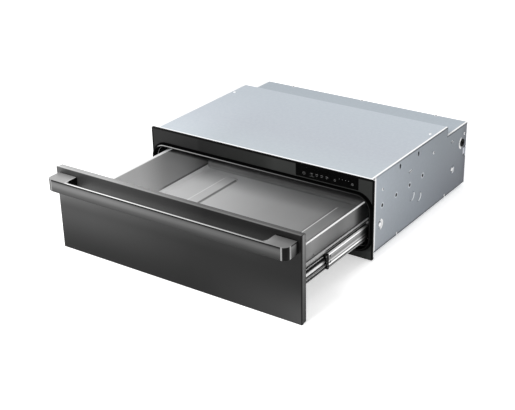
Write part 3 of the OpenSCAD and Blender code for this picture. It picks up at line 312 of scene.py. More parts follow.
def front_tone(tree, place):
    """Graphite front: painted light, lighter at its upper left and lower right, and painted highlights on its
    folded edges.
    """
    x, y, z = add(tree, "SeparateXYZ", {0: place}).outputs
    # Painted light across the face at four heights: behind the handle, under it, below that and at the foot
    behind = bands(tree, x, [(-380, "#5d5d5d"), (-340, "#474747"), (-264, "#505050"), (-157, "#4a4a4a"),
                             (0, "#3c3c3c"), (110, "#292929"), (269, "#242424"), (320, "#1f1f1f"),
                             (380, "#232323")])
    under = bands(tree, x, [(-380, "#6c6c6c"), (-264, "#5f5f5f"), (-210, "#545454"), (-157, "#525252"),
                            (-51, "#424242"), (110, "#323232"), (215, "#2f2f2f"), (269, "#272727"),
                            (380, "#202020")])
    high = bands(tree, x, [(-380, "#404040"), (-264, "#3f3f3f"), (-157, "#383838"), (-51, "#2d2d2d"),
                           (56, "#232323"), (110, "#202020"), (380, "#1e1e1e")])
    low = bands(tree, x, [(-380, "#212121"), (-157, "#1e1e1e"), (56, "#1b1b1b"), (110, "#1f1f1f"),
                          (215, "#2b2b2b"), (320, "#373737"), (380, "#414141")])
    face = layers(tree, low, (where(tree, (z, 0, 110)), high), (where(tree, (z, 112, 158)), under),
                  (where(tree, (z, 168, 188)), behind))
    # Painted light across the upper fold, and a painted highlight round its front lip
    above = bands(tree, x, [(-380, "#949494"), (-320, "#818181"), (-264, "#6f6f6f"), (-157, "#606060"),
                            (-51, "#4d4d4d"), (0, "#3b3b3b"), (380, "#2a2a2a")])
    lip = bands(tree, x, [(-380, "#d4d4d4"), (-320, "#c3c3c3"), (-210, "#bcbcbc"), (-157, "#a6a6a6"),
                          (-51, "#919191"), (0, "#808080"), (110, "#707070"), (269, "#717171"),
                          (380, "#626262")])
    # Painted light up the right edge, which fades where it rounds into the face
    edge = bands(tree, z, [(-10, "#101010"), (-4, "#1c1c1c"), (20, "#3a3a3a"), (60, "#4e4e4e"),
                           (100, "#5a5a5a"), (120, "#646464"), (160, "#747474"), (200, "#7c7c7c"),
                           (222, "#848484")])
    fading = bands(tree, y, [(-651, "#040404"), (-649.0, "#080808"), (-648.2, "#8c8c8c"), (-646, "#b8b8b8"),
                             (-644.5, "#e4e4e4")])
    return layers(tree, face,
                  (turned_to(tree, UP), layers(tree, above, (where(tree, (y, -650.2, -649.4)), lip))),
                  # A line of painted shade where the face turns into its right edge
                  (where(tree, (x, 376.8, 377.4)), "#020202"),
                  (turned_to(tree, RIGHT), layers(tree, edge, (1.0, fading, "MULTIPLY"))))


def shell_tone(tree, place):
    """Inner shell of the front: painted light, pale on its upper left edge and deepening to the right and
    down its sides, with painted shade on upper faces turned to the back.
    """
    x, y, z = add(tree, "SeparateXYZ", {0: place}).outputs
    above = bands(tree, x, [(-380, "#b8b8b8"), (-320, "#aeaeae"), (-210, "#a6a6a6"), (-157, "#969696"),
                            (-51, "#787878"), (0, "#727272"), (56, "#5c5c5c"), (215, "#505050"),
                            (380, "#424242")])
    side = bands(tree, z, [(-8, "#141414"), (0, "#282828"), (20, "#323232"), (60, "#424242"),
                           (100, "#565656"), (120, "#686868"), (160, "#808080"), (200, "#959595"),
                           (222, "#9a9a9a")])
    fading = bands(tree, y, [(-644.2, "#ffffff"), (-641.2, "#ffffff"), (-639.4, "#d2d2d2"),
                             (-635, "#cccccc"), (-632, "#9a9a9a"), (-630.8, "#808080")])
    return layers(tree, "#303031",
                  (turned_to(tree, RIGHT), layers(tree, side, (1.0, fading, "MULTIPLY"))),
                  (turned_to(tree, UP), layers(tree, above, (turned_to(tree, BACK, 0.15, 0.6), "#5a5a5a"))))


def handle_tone(tree, place):
    """Graphite handle: painted light, pale on top and in a soft band along its face, with a painted dark
    reflection round each corner.
    """
    x, y, z = add(tree, "SeparateXYZ", {0: place}).outputs
    out = from_middle(tree, place)
    level = bands(tree, z, [(176, "#323232"), (180, "#434343"), (185, "#4f4f4f"), (188, "#585858"),
                            (191, "#656565"), (197, "#707070"), (203, "#676767"), (205.4, "#454545"),
                            (206.6, "#1b1b1b"), (207.6, "#040404")])
    fade = bands(tree, x, [(-370, "#ffffff"), (-254, "#ffffff"), (-154, "#f7f7f7"), (-53, "#e4e4e4"),
                           (48, "#d2d2d2"), (148, "#cccccc"), (249, "#c3c3c3"), (300, "#c9c9c9"),
                           (340, "#c3c3c3")])
    # A painted reflection round the corner: a dark band between two pale lines, along the sum of the places
    # across and back
    round_the_corner = add(tree, "Math", {0: out, 1: y}, operation="ADD").outputs[0]
    corner = bands(tree, round_the_corner, [(-346, "#707070"), (-343.5, "#a0a0a0"), (-340, "#040404"),
                                            (-316.5, "#040404"), (-312.5, "#b0b0b0"), (-309, "#7c7c7c")])
    end = bands(tree, z, [(176, "#3e3e3e"), (180, "#464646"), (185, "#545454"), (190, "#5f5f5f"),
                          (195, "#6a6a6a"), (200, "#7b7b7b"), (205.4, "#919191"), (206.6, "#161616"),
                          (209, "#0d0d0d")])
    end_fade = bands(tree, y, [(-684, "#ffffff"), (-679, "#dcdcdc"), (-670, "#dadada"), (-661, "#e8e8e8"),
                               (-658.5, "#a0a0a0"), (-654, "#404040")])
    above = bands(tree, x, [(-370, "#a8a8a8"), (-312, "#b4b4b4"), (-300, "#ffffff"), (-154, "#ffffff"),
                            (0, "#dcdcdc"), (148, "#c8c8c8"), (290, "#a0a0a0"), (330, "#7c7c7c"),
                            (370, "#747474")])
    return layers(
        tree, level, (1.0, fade, "MULTIPLY"), (where(tree, (out, 353, 354.5), (y, -678, -680)), corner),
        (where(tree, (facing(tree, RIGHT), 0.6, 0.95), (y, -680, -678)),
         layers(tree, end, (1.0, end_fade, "MULTIPLY"))),
        # The inner faces of the blocks and the back of the bar are in shade
        (where(tree, (out, 354, 352), (y, -697, -692)), "#080808"),
        # Painted light on the top faces, with painted shade along the back of the bar's top between the
        # blocks
        (turned_to(tree, UP, 0.4, 0.75),
         layers(tree, above, (where(tree, (out, 310, 300), (y, -695.9, -694.0)), "#101010"))))


def pan_tone(tree, place):
    """Stainless pan: painted light that is pale at its left and deeper to the right, with painted highlights
    and shade beside its ribs and bends.
    """
    x, y, z = add(tree, "SeparateXYZ", {0: place}).outputs
    flat = bands(tree, x, [(-310, "#f2f2f2"), (-280, "#e4e4e4"), (-245, "#dedede"), (-209, "#dcdcdc"),
                           (-150, "#d6d6d6"), (-120, "#cfcfcf"), (-60, "#c4c4c4"), (0, "#b8b8b8"),
                           (60, "#b0b0b0"), (120, "#ababab"), (165, "#a0a0a0"), (320, "#a0a0a0")])
    # A painted highlight along each rib's left fold, and painted shade along the left rib's right fold and
    # just before the right rib's left fold
    bright = bands(tree, x, [(-234, "#000000"), (-231, "#ffffff"), (-226.5, "#ffffff"), (-224, "#000000"),
                             (153, "#000000"), (155, "#ffffff"), (159, "#ffffff"), (161.5, "#000000")])
    dull = bands(tree, x, [(-194, "#000000"), (-191, "#ffffff"), (-188, "#ffffff"), (-185, "#000000"),
                           (148, "#000000"), (150.5, "#ffffff"), (152.5, "#ffffff"), (154, "#000000")])
    ribs = where(tree, (y, -122, -126), (z, 31.4, 30.6))
    for fold, colour in ((dull, "#8a8a8a"), (bright, "#ffffff")):
        share = add(tree, "Math", {0: ribs, 1: fold}, operation="MULTIPLY").outputs[0]
        flat = layers(tree, flat, (share, colour))
    # A painted highlight on the left bend, and on the walls painted light that deepens towards the rear, with
    # a line of painted shade low on the wall
    bend = bands(tree, z, [(27, "#f2f2f2"), (32, "#ffffff"), (38, "#ffffff")])
    wall = bands(tree, y, [(-630, "#f4f4f4"), (-400, "#dcdcdc"), (-330, "#c2c2c2"), (-300, "#b5b5b5"),
                           (-270, "#afafaf"), (-180, "#aaaaaa"), (-150, "#a4a4a4"), (-95, "#808080"),
                           (-82, "#505050")])
    line = where(tree, (z, 45, 43), (z, 38, 39.5), (y, -330, -285, 0.0, 0.65))
    # The rear wall: painted light, paler at the left and deeper to the right
    rear = bands(tree, z, [(27, "#c4c4c4"), (32, "#9a9a9a"), (40, "#a0a0a0")])
    rear_fade = bands(tree, x, [(-310, "#ffffff"), (-150, "#bcbcbc"), (0, "#acacac")])
    # Just inside, the walls fall into shade along a line that slopes down and back from the mouth's lip
    slope = add(tree, "VectorMath", {0: place, 1: (0, 0.469, 0.883)}, operation="DOT_PRODUCT")
    lip_shade = bands(tree, slope.outputs["Value"], [(-1.5, "#ffffff"), (3.2, "#909090"), (6.5, "#303030"),
                                                     (10, "#181818")])
    # A painted highlight on the rim, with a line of painted shade beside its right edge
    rim = bands(tree, x, [(-330, "#ffffff"), (317, "#ffffff"), (318.5, "#0c0c0c"), (322.3, "#0c0c0c"),
                          (322.9, "#ffffff"), (330, "#ffffff")])
    # Faces turned to the back get painted shade
    return layers(
        tree, flat, (turned_to(tree, BACK, 0.15, 0.5), "#8a8a8a"), (where(tree, (x, -306, -309)), bend),
        (where(tree, (z, 37.2, 38.8)), layers(tree, wall, (line, "#242424"))),
        (where(tree, (y, -90, -84)), layers(tree, rear, (1.0, rear_fade, "MULTIPLY"))),
        (1.0, lip_shade, "MULTIPLY"), (where(tree, (z, 143.6, 144.4)), rim))


def bezel_tone(tree, place):
    """Charcoal bezel: painted light that is a little lighter at its left and foot, and painted shade along
    the line where its edge turns away.
    """
    x, _, z = add(tree, "SeparateXYZ", {0: place}).outputs
    face = bands(tree, x, [(-361, "#2a2a2a"), (-200, "#282828"), (-190, "#212121"), (20, "#2a2b2a"),
                           (60, "#363736"), (361, "#2d2e2d")])
    return layers(tree, face, (where(tree, (z, 22, 10)), "#404241"),
                  (where(tree, (from_middle(tree, place), 355.6, 356.4)), "#000000"),
                  (where(tree, (z, 213.2, 214.0)), "#000000"))


def seal_tone(tree, place):
    """Silicone seal: black, with a thin grey painted highlight along its ridge that is palest at the upper
    left.
    """
    x, y, _ = add(tree, "SeparateXYZ", {0: place}).outputs
    ridge = bands(tree, x, [(-360, "#101010"), (-338, "#181818"), (-326, "#b0b0b0"), (-180, "#969696"),
                            (17, "#747474"), (205, "#464646"), (350, "#1c1c1c")])
    return layers(tree, ridge, (where(tree, (y, -295.4, -295.2)), "#000000"))


def frame_tone(tree, place):
    """Side sheet of the drawer: painted light that is paler near the front, with a soft lift before the mouth
    and then painted shade, and bands of painted shade at its foot and under its rim.
    """
    _, y, z = add(tree, "SeparateXYZ", {0: place}).outputs
    along = bands(tree, y, [(-630, "#808080"), (-540, "#848484"), (-520, "#8c8c8c"), (-480, "#7c7c7c"),
                            (-440, "#717171"), (-400, "#6b6b6b"), (-380, "#727272"), (-340, "#8c8c8c"),
                            (-320, "#989898"), (-308, "#7e7e7e"), (-298, "#5c5c5c"), (-280, "#303030")])
    lines = bands(tree, z, [(92, "#5a5a5a"), (95.5, "#5a5a5a"), (97, "#ffffff"), (140.5, "#ffffff"),
                            (142.5, "#909090"), (145.3, "#808080")])
    return layers(tree, along, (1.0, lines, "MULTIPLY"))


def rail_tone(tree, place):
    """Slide rail: a painted highlight on its ledge, over a groove in painted black shade; beside the middle
    member the ledge's outer part has painted shade.
    """
    _, y, z = add(tree, "SeparateXYZ", {0: place}).outputs
    out = from_middle(tree, place)
    front = bands(tree, out, [(324, "#f0f0f0"), (325, "#ffffff"), (329, "#ffffff"), (331, "#e0e0e0"),
                              (333.5, "#e0e0e0")])
    beside = bands(tree, out, [(324, "#d0d0d0"), (325.3, "#ffffff"), (329.4, "#ffffff"), (330.8, "#060606"),
                               (333.5, "#060606")])
    face = bands(tree, z, [(47, "#040404"), (89.8, "#040404"), (90.6, "#8a8a8a"), (92.6, "#8a8a8a")])
    return layers(tree, face,
                  (turned_to(tree, UP), layers(tree, front, (where(tree, (y, -480, -462)), beside))))


def inner_slide_tone(tree, place):
    """Inner slide member: painted highlights on its upper edge and middle bead, and painted shade in the ball
    tracks between them.
    """
    _, _, z = add(tree, "SeparateXYZ", {0: place}).outputs
    return bands(tree, z, [(55, "#040404"), (59.3, "#101010"), (59.7, "#dadada"), (60.2, "#c8c8c8"),
                           (60.8, "#383838"), (66, "#383838"), (66.9, "#e4e4e4"), (73.6, "#dadada"),
                           (74.8, "#101010"), (79, "#040404"), (82.6, "#040404"), (83.4, "#f0f0f0"),
                           (84.7, "#ffffff")])


def middle_slide_tone(tree, place):
    """Middle slide member: painted highlights on its rolled lips and painted shade between them, a mottled
    web, and painted shade in two rivet holes behind the bumper.
    """
    _, y, z = add(tree, "SeparateXYZ", {0: place}).outputs
    web = bands(tree, z, [(50.7, "#a8a8a8"), (54, "#a0a0a0"), (55.3, "#303030"), (57.0, "#303030"),
                          (58.2, "#ffffff"), (62.6, "#f4f4f4"), (63.6, "#606060"), (65.4, "#606060"),
                          (66.6, "#d0d0d0"), (69, "#e0e0e0"), (71, "#a8a8a8"), (73, "#848484"),
                          (77.5, "#848484"), (80, "#a8a8a8"), (82.6, "#9c9c9c"), (83.6, "#505050"),
                          (84.9, "#505050"), (85.6, "#f4f4f4"), (89.3, "#ffffff")])
    mottle = bands(tree, grain(tree, place, (0.8, 6, 2.5), 4.0, 3.0), [(0.3, "#6a6a6a"), (0.7, "#a0a0a0")])
    shade_in = bands(tree, y, [(-330, "#ffffff"), (-318, "#f0f0f0"), (-300, "#9c9c9c"), (-288, "#404040")])
    return layers(tree, web, (0.35, mottle, "OVERLAY"),
                  *((where(tree, (from_line(tree, place, hole), 3.8, 3.2)), "#020202")
                    for hole in BUMPER_RIVETS),
                  (1.0, shade_in, "MULTIPLY"))


def slide_tone(tree, place):
    """Outer slide member: painted highlights on its lips above and below a greyer web."""
    _, _, z = add(tree, "SeparateXYZ", {0: place}).outputs
    return bands(tree, z, [(46, "#4a4a4a"), (49, "#cccccc"), (52, "#5a5a5a"), (58, "#8a8a8a"),
                           (80, "#a6a6a6"), (88, "#e8e8e8")])


def screw_tone(tree, place):
    """Zinc-plated screws: bright, with painted shade in the recess of each head on the cabinet's sides."""
    out = from_middle(tree, place)
    behind, above = 1.5, 0.5  # how far the shade in a recess lies from the head's middle
    tone = "#ffffff"
    for y, z in SIDE_SCREWS:
        ring = from_line(tree, place, (0, y + behind, z + above))
        tone = layers(tree, tone, (where(tree, (ring, 3.0, 2.4), (out, 350, 350.4)), UNLIT))
    return tone


def bumper_tone(tree, place):
    """Slide bumper: black, with pale scuffs where it has met the front."""
    scuff = grain(tree, place, (4, 4, 5), 3.0, 11.0)
    return bands(tree, scuff, [(0.3, "#020202"), (0.579, "#020202"), (0.6375, "#8a8a8a"),
                               (0.75, "#a0a0a0")])


# The finishes themselves. Each comment says what the real finish gives the eye

# Zinc-coated sheet: a cool, softly shining grey with a faint spangle
top_sheet = zinc_sheet("zinc_sheet_top", top_tone)
side_sheet = zinc_sheet("zinc_sheet_side", side_tone)
plain_sheet = zinc_sheet("zinc_sheet_plain", plain_tone)
# Rolled steel: bright, with long soft highlights across the rolling
bright_sheet = brushed("bright_rolled_steel", "#e6e9ec", "X", 0.3, 0.4, 0.1)
# The flange: painted almost white along its cut edge, as a highlight
flange_steel = brushed("flange_painted_highlight", "#ffffff", "X", 0.4, 0.1, 0.05, flange_tone)
# Zinc plating on rolled steel, with painted highlights along the slides' lips and painted shade in the ball
# tracks
slide_steel = brushed("zinc_plated_outer_slide", "#cfd1d3", "Y", 0.3, 0.5, 0.2, slide_tone)
middle_steel = brushed("zinc_plated_middle_slide", "#cfd1d3", "Y", 0.34, 0.75, 0.2, middle_slide_tone)
inner_steel = brushed("zinc_plated_inner_slide", "#cfd1d3", "Y", 0.34, 0.75, 0.2, inner_slide_tone, 0.1)
# A rail whose ledge carries a pale painted highlight, with little shine of its own
rail_steel = brushed("bright_slide_rail", "#cfd1d3", "Y", 0.34, 0.0, 0.14, rail_tone, 0.1)
# Plain sheet steel: a dull mid grey with faint streaks along the rolling
frame_steel = brushed("plain_steel_sheet", "#a0a1a2", "Y", 0.42, 0.4, 0.14)
side_frame_steel = brushed("plain_steel_side_sheet", "#8f8f8f", "Y", 0.45, 0.3, 0.14, frame_tone)
# Satin stainless steel: pale and even, because its fine grain scatters what it mirrors
pan_steel = brushed("satin_stainless_pan", "#a5a5a5", "Y", 0.45, 0.05, 0.1, pan_tone)
# Graphite coating over brushed steel and aluminium: near black, with a soft sheen
graphite_front = brushed("brushed_graphite_front", "#3d3d3e", "X", 0.4, 0.5, 0.12, front_tone, 0.2)
graphite_handle = brushed("brushed_graphite_handle", "#7a7a7b", "X", 0.36, 0.5, 0.12, handle_tone, 0.2)
# Satin coating: an even dark grey, with painted light on its edges
backing_paint = moulded("satin_grey_coating", "#303031", 0.55, 1.0, 0.01, shell_tone, 0.2)
# Satin enamel: charcoal, with no clear highlight
bezel_paint = moulded("satin_charcoal_enamel", "#2f3030", 0.5, 0.9, 0.008, bezel_tone, 0.1)
# Glass over black print: deep black with a faint mirror
touch_black = moulded("black_touch_glass", "#060606", 0.12, 30.0, 0.002, shine=0.06)
# Screen print on the glass: flat pale grey
icon_print = moulded("pale_icon_print", "#666666", 0.5, 1.0, 0.002)
# Silicone: dull black, with a grey painted highlight along its ridge
rubber_black = moulded("silicone_seal", "#0c0c0c", 0.6, 0.6, 0.02, seal_tone, 0.02)
# Rubber: the dullest black
grommet_black = moulded("black_rubber_grommet", "#040404", 0.6, 0.6, 0.02, shine=0.05)
# Moulded nylon: black, with a slight sheen on its edges
plastic_black = moulded("black_moulded_nylon", "#060606", 0.5, shine=0.2)
# Nylon that takes knocks: black with pale scuffs
bumper_black = moulded("black_bumper_nylon", "#020202", 0.6, 0.8, 0.015, bumper_tone, 0.05)
# Lacquered board: deep green, a little glossy
board_green = moulded("lacquered_board", "#1d4f36", 0.4, 2.0, 0.02)
# Moulded cases of the boards' parts: dark and plain
case_dark = moulded("moulded_component_cases", "#25282b", 0.5)
# Mineral wool: a cream fibre with deep hollows and no shine
wool = moulded("mineral_wool", "#e2dcc0", 0.95, 1.6, 0.6)
# Steel sheath tinted by heat: brown, with a metal's highlights
sheath = brushed("heat_tinted_sheath", "#6d6358", "Y", 0.4, 0.8, 0.2)
# Bright zinc plating: small white glints
zinc_screw = brushed("zinc_plated_screws", "#e4e6e8", "X", 0.3, 0.25, 0.06, screw_tone)
# Moulded terminal block: warm cream with a slight sheen
cream_plastic = moulded("cream_moulding", "#ddd6c2", 0.45)
# Jackets of the leads: plain blue with a slight sheen
lead_jacket = moulded("lead_jackets", "#2d4f9c", 0.5)

# The plating shines on the slides' outer faces and is duller on their edges
for plated in (middle_steel, inner_steel):
    tree = plated.node_tree
    shining = where(tree, (sideways(tree), 0.3, 0.7, 0, 0.75))
    tree.links.new(shining, tree.nodes["Principled BSDF"].inputs["Metallic"])

# Which pieces wear which finish
finishes = {
    top_sheet: ["top_panel"],
    side_sheet: ["right_side"],
    plain_sheet: ["left_side", "base_pan", "rear_panel", "electronics_tray"],
    flange_steel: ["mount_flange"],
    bright_sheet: ["ceiling_liner", "heat_reflector", "element_clips", "temperature_sensor"],
    slide_steel: ["left_outer_slide", "right_outer_slide"],
    middle_steel: ["left_middle_slide", "right_middle_slide"],
    inner_steel: ["left_inner_slide", "right_inner_slide"],
    rail_steel: ["left_rail", "right_rail"],
    side_frame_steel: ["left_side_frame", "right_side_frame"],
    frame_steel: ["rear_frame", "front_brackets", "left_outer_cage", "right_outer_cage", "left_inner_cage",
                  "right_inner_cage"],
    pan_steel: ["drawer_pan"],
    graphite_front: ["front_skin"],
    graphite_handle: ["handle"],
    backing_paint: ["front_backing"],
    bezel_paint: ["bezel"],
    touch_black: ["touch_glass"],
    rubber_black: ["mouth_seal"],
    grommet_black: ["cable_grommet"],
    bumper_black: ["left_bumper", "right_bumper"],
    plastic_black: ["handle_spacers", "glass_carrier", "board_standoffs"],
    board_green: ["touch_board", "power_board"],
    case_dark: ["board_parts", "thermal_cutout"],
    wool: ["ceiling_insulation", "floor_insulation", "front_insulation"],
    sheath: ["heating_element"],
    zinc_screw: ["slide_screws", "case_screws", "slide_rivets", "front_screws", "handle_screws",
                 "left_outer_balls", "right_outer_balls", "left_inner_balls", "right_inner_balls"],
    cream_plastic: ["terminal_block"],
    lead_jacket: ["wire_leads"],
}
for material, names in finishes.items():
    for name in names:
        piece = nodes[name]
        if not piece.material_slots:
            piece.data.materials.append(material)
        for slot in piece.material_slots:
            slot.material = material


# Camera, lamps and floor

# The photograph's viewpoint, found from the edges of the object
AZIMUTH, ELEVATION, ROLL = (math.radians(a) for a in (35.390, 25.173, 1.3936))
EYE = (1598.126, -2534.496, 1357.916)
PHOTO_WIDTH = 515
FOCAL_PIXELS = 1117.04

to_eye = np.array([math.sin(AZIMUTH) * math.cos(ELEVATION), -math.cos(AZIMUTH) * math.cos(ELEVATION),
                   math.sin(ELEVATION)])
level = np.cross(UP, to_eye)
level /= np.linalg.norm(level)
upright = np.cross(to_eye, level)
turned = np.array([math.cos(ROLL) * level - math.sin(ROLL) * upright,
                   math.sin(ROLL) * level + math.cos(ROLL) * upright, to_eye])
lens = bpy.data.cameras.new("camera")
lens.sensor_fit = "HORIZONTAL"
lens.sensor_width = 36
lens.lens = FOCAL_PIXELS / PHOTO_WIDTH * lens.sensor_width
lens.clip_end = 50
camera = bpy.data.objects.new("camera", lens)
camera.matrix_world = Matrix.Translation([e * MM for e in EYE]) @ Matrix(turned.T.tolist()).to_4x4()
scene.collection.objects.link(camera)
scene.camera = camera
scene.view_settings.view_transform = "Standard"


def seen_or_lit(tree, seen, lit, into):
    """Show one shader to the camera and to reflections, and the other to all else."""
    ray = add(tree, "LightPath").outputs
    share = ray["Is Camera Ray"]
    for way in ("Is Glossy Ray", "Is Transmission Ray"):
        share = add(tree, "Math", {0: share, 1: ray[way]}, operation="MAXIMUM").outputs[0]
    both = add(tree, "MixShader", {0: share, 1: lit, 2: seen})
    tree.links.new(both.outputs[0], into)


world = bpy.data.worlds.new("studio")
scene.world = world
world.use_nodes = True
sky = world.node_tree
SEEN_WHITE, ROOM_LIGHT = 1.0, 0.46
white, fill = (add(sky, "Background", {"Color": linear("#ffffff"), "Strength": strength}).outputs[0]
               for strength in (SEEN_WHITE, ROOM_LIGHT))
seen_or_lit(sky, white, fill, sky.nodes["World Output"].inputs[0])


def lamp(name, place, aim, size, power):
    """A square soft lamp in metres that faces a point."""
    light = bpy.data.lights.new(name, "AREA")
    light.size = size
    light.energy = power
    made = bpy.data.objects.new(name, light)
    made.rotation_euler = (Vector(place) - Vector(aim)).to_track_quat("Z", "Y").to_euler()
    made.location = place
    scene.collection.objects.link(made)


# Each lamp's place, aim and size in metres, and its power in watts
lamp("key", (-0.27, -2.8, 2.27), (0, -0.4, 0.1), 1.5, 95)
lamp("high", (0.4, 0.7, 3.0), (0, 0, 0.2), 2.0, 12)
lamp("fill", (2.8, -0.6, 1.6), (0, -0.1, 0.1), 2.0, 7)

FLOOR, HALF_FLOOR = -10.3, 6000  # height and half width of the white paper that the part stands on
PAPER_GLOW = 0.5
sheet_mesh = bpy.data.meshes.new("floor")
sheet_mesh.from_pydata([(x * HALF_FLOOR * MM, y * HALF_FLOOR * MM, FLOOR * MM)
                        for x, y in ((-1, -1), (1, -1), (1, 1), (-1, 1))], [], [(0, 1, 2, 3)])
floor = bpy.data.objects.new("floor", sheet_mesh)
scene.collection.objects.link(floor)
paper, tree, shader, _ = finish("white_paper_floor", "#f4f4f4", 0.9)
glow = add(tree, "Emission", {"Color": linear("#ffffff"), "Strength": PAPER_GLOW})
lit_paper = add(tree, "AddShader", {0: glow.outputs[0], 1: shader.outputs[0]})
seen_or_lit(tree, lit_paper.outputs[0], shader.outputs[0], tree.nodes["Material Output"].inputs[0])
sheet_mesh.materials.append(paper)


# Surfaces

def outline(corners, radii, steps):
    """A flat outline with rounded corners, as its points and the direction outwards at each.

    The corners go anticlockwise. Each is replaced by an arc that touches both its sides: the outward
    direction turns evenly from that of one side to that of the next, and the point is the arc's centre plus
    its radius along that direction, or less it where the outline turns inwards.
    """
    corners = np.array(corners, float)
    points, outward = [], []
    neighbours = np.roll(corners, 1, 0), np.roll(corners, -1, 0)
    for corner, before, after, radius in zip(corners, *neighbours, radii):
        arriving = (corner - before) / np.linalg.norm(corner - before)
        leaving = (after - corner) / np.linalg.norm(after - corner)
        turn = math.atan2(arriving[0] * leaving[1] - arriving[1] * leaving[0], arriving @ leaving)
        start = corner - arriving * radius * math.tan(abs(turn) / 2)
        side = math.copysign(radius, turn)
        angles = math.atan2(-arriving[0], arriving[1]) + turn * np.linspace(0, 1, steps + 1)
        ways = np.stack([np.cos(angles), np.sin(angles)], 1)
        points.append(start - side * ways[0] + side * ways)
        outward.append(ways)
    return np.concatenate(points), np.concatenate(outward)


def rectangle(x0, z0, x1, z1, radius, steps=6):
    """An outline of a rectangle whose four corners have one radius."""
    return outline([(x0, z0), (x1, z0), (x1, z1), (x0, z1)], [radius] * 4, steps)


def rounding(centre, radius, start, end, steps=5):
    """Points of an arc in a profile, from one angle to another in degrees."""
    angles = np.radians(np.linspace(start, end, steps + 1))
    return [(centre[0] + radius * math.cos(a), centre[1] + radius * math.sin(a)) for a in angles]


def cells(rows, columns, wrap_rows=False, wrap_columns=False):
    """Corner numbers of the cells of a grid of points, which may join on itself along its rows or columns."""
    row, column = np.meshgrid(np.arange(rows if wrap_rows else rows - 1),
                              np.arange(columns if wrap_columns else columns - 1), indexing="ij")
    row, column = row.ravel(), column.ravel()
    below, beside = (row + 1) % rows, (column + 1) % columns
    return np.stack([row, below, below, row], 1) * columns + np.stack([column, column, beside, beside], 1)


def carried(plane, flat, profile, ring=False):
    """A profile carried round a closed outline.

    Each profile point is a distance outwards and a rise: its place is the outline's point, plus the outward
    direction times the distance, plus the plane's rise direction times the rise. An open profile is closed
    by a face at each end.
    """
    points, outward = flat
    profile = np.array(profile, float)
    first, second, rise = np.array(plane, float)
    across = points[:, None] + outward[:, None] * profile[None, :, :1]
    places = across[..., :1] * first + across[..., 1:] * second + profile[None, :, 1:] * rise
    rows, columns = places.shape[:2]
    faces = cells(rows, columns, True, ring).tolist()
    if not ring:
        faces += [list(range(end, rows * columns, columns)) for end in (0, columns - 1)]
    return places.reshape(-1, 3), faces


def joined(parts):
    """Several sets of points and faces as one."""
    points, faces, count = [], [], 0
    for part_points, part_faces in parts:
        points.append(np.asarray(part_points, float))
        faces += [[corner + count for corner in face] for face in part_faces]
        count += len(part_points)
    return np.concatenate(points), faces


SEAM = 0.001  # points nearer than this are one


def build(name, shape, material, body, replaced=(), angle=35, closed=True):
    """Make a piece from points and faces: close its seams, turn its faces out, dress it and place it."""
    points, faces = shape
    mesh = bpy.data.meshes.new(name)
    mesh.from_pydata((np.asarray(points) * MM).tolist(), [], faces)
    work = bmesh.new()
    work.from_mesh(mesh)
    bmesh.ops.remove_doubles(work, verts=work.verts, dist=SEAM * MM)
    if closed:
        bmesh.ops.recalc_face_normals(work, faces=work.faces)
    work.to_mesh(mesh)
    work.free()
    mesh.shade_smooth()
    mesh.set_sharp_from_angle(angle=math.radians(angle))
    mesh.materials.append(material)
    piece = bpy.data.objects.new(name, mesh)
    scene.collection.objects.link(piece)
    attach(piece, body)
    if replaced:
        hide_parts(*replaced)
    return piece


# The drawer's front

SHEET = 0.8  # thickness of the folded sheets
SUPPORT = 0.5  # flat margin that keeps a face's shading even up to its edge
SPARE = 0.1  # how much larger an outline's corner radius is than its profile reaches in
FOLD = 0.8  # soft outer edge of the front
SHELL_FOLD, SHELL_INNER, SHELL_FLAT = 1.6, 0.8, 2.4  # the shell's folds, outside and inside, and its margin

low, high = span("front_skin")
build("folded_front", carried(
    FRONT, rectangle(low[0], low[2], high[0], high[2], FOLD + SUPPORT + SPARE),
    [(-FOLD - SUPPORT, low[1])] + rounding((-FOLD, low[1] + FOLD), FOLD, -90, 0)
    + [(0, high[1]), (-SHEET, high[1]), (-SHEET, low[1] + SHEET), (-FOLD - SUPPORT, low[1] + SHEET)]),
    graphite_front, "drawer", ["front_skin"])

low, high = span("front_backing")
back_y = high[1] - SHEET
build("front_shell", carried(
    FRONT, rectangle(low[0], low[2], high[0], high[2], SHELL_FLAT + 2 * SPARE),
    [(-SHELL_FLAT, high[1])] + rounding((-SHELL_FOLD, high[1] - SHELL_FOLD), SHELL_FOLD, 90, 0)
    + [(0, low[1]), (-SHEET, low[1]), (-SHEET, back_y - SHELL_INNER), (-SHEET - SHELL_INNER, back_y),
       (-SHELL_FLAT, back_y)]),
    backing_paint, "drawer", ["front_backing"])

BLOCK, BAR = 62, 8  # width of the handle's end blocks, depth of its bar
CORNER, FILLET, BLOCK_EDGE = 15, 12, 1.5  # its radii: outer corners, inner corners, rear edges of the blocks
SOFT = 0.9  # soft edge all round it
low, high = span("handle")
side, inner, bar_rear = high[0], high[0] - BLOCK, low[1] + BAR
handle_plan = outline(
    [(-side, low[1]), (side, low[1]), (side, high[1]), (inner, high[1]), (inner, bar_rear),
     (-inner, bar_rear), (-inner, high[1]), (-side, high[1])],
    [CORNER, CORNER, BLOCK_EDGE, BLOCK_EDGE, FILLET, FILLET, BLOCK_EDGE, BLOCK_EDGE], steps=10)
build("bar_handle", carried(
    PLAN, handle_plan, [(-SOFT - SUPPORT, low[2])] + rounding((-SOFT, low[2] + SOFT), SOFT, -90, 0)
    + rounding((-SOFT, high[2] - SOFT), SOFT, 0, 90) + [(-SOFT - SUPPORT, high[2])]),
    graphite_handle, "drawer", ["handle"])


# The drawer's pan

def merged_steps(coarse, fine):
    """Grid lines: an even coarse set, with fine ones where the surface bends."""
    return np.unique(np.round(np.concatenate([coarse] + list(fine)), 4))


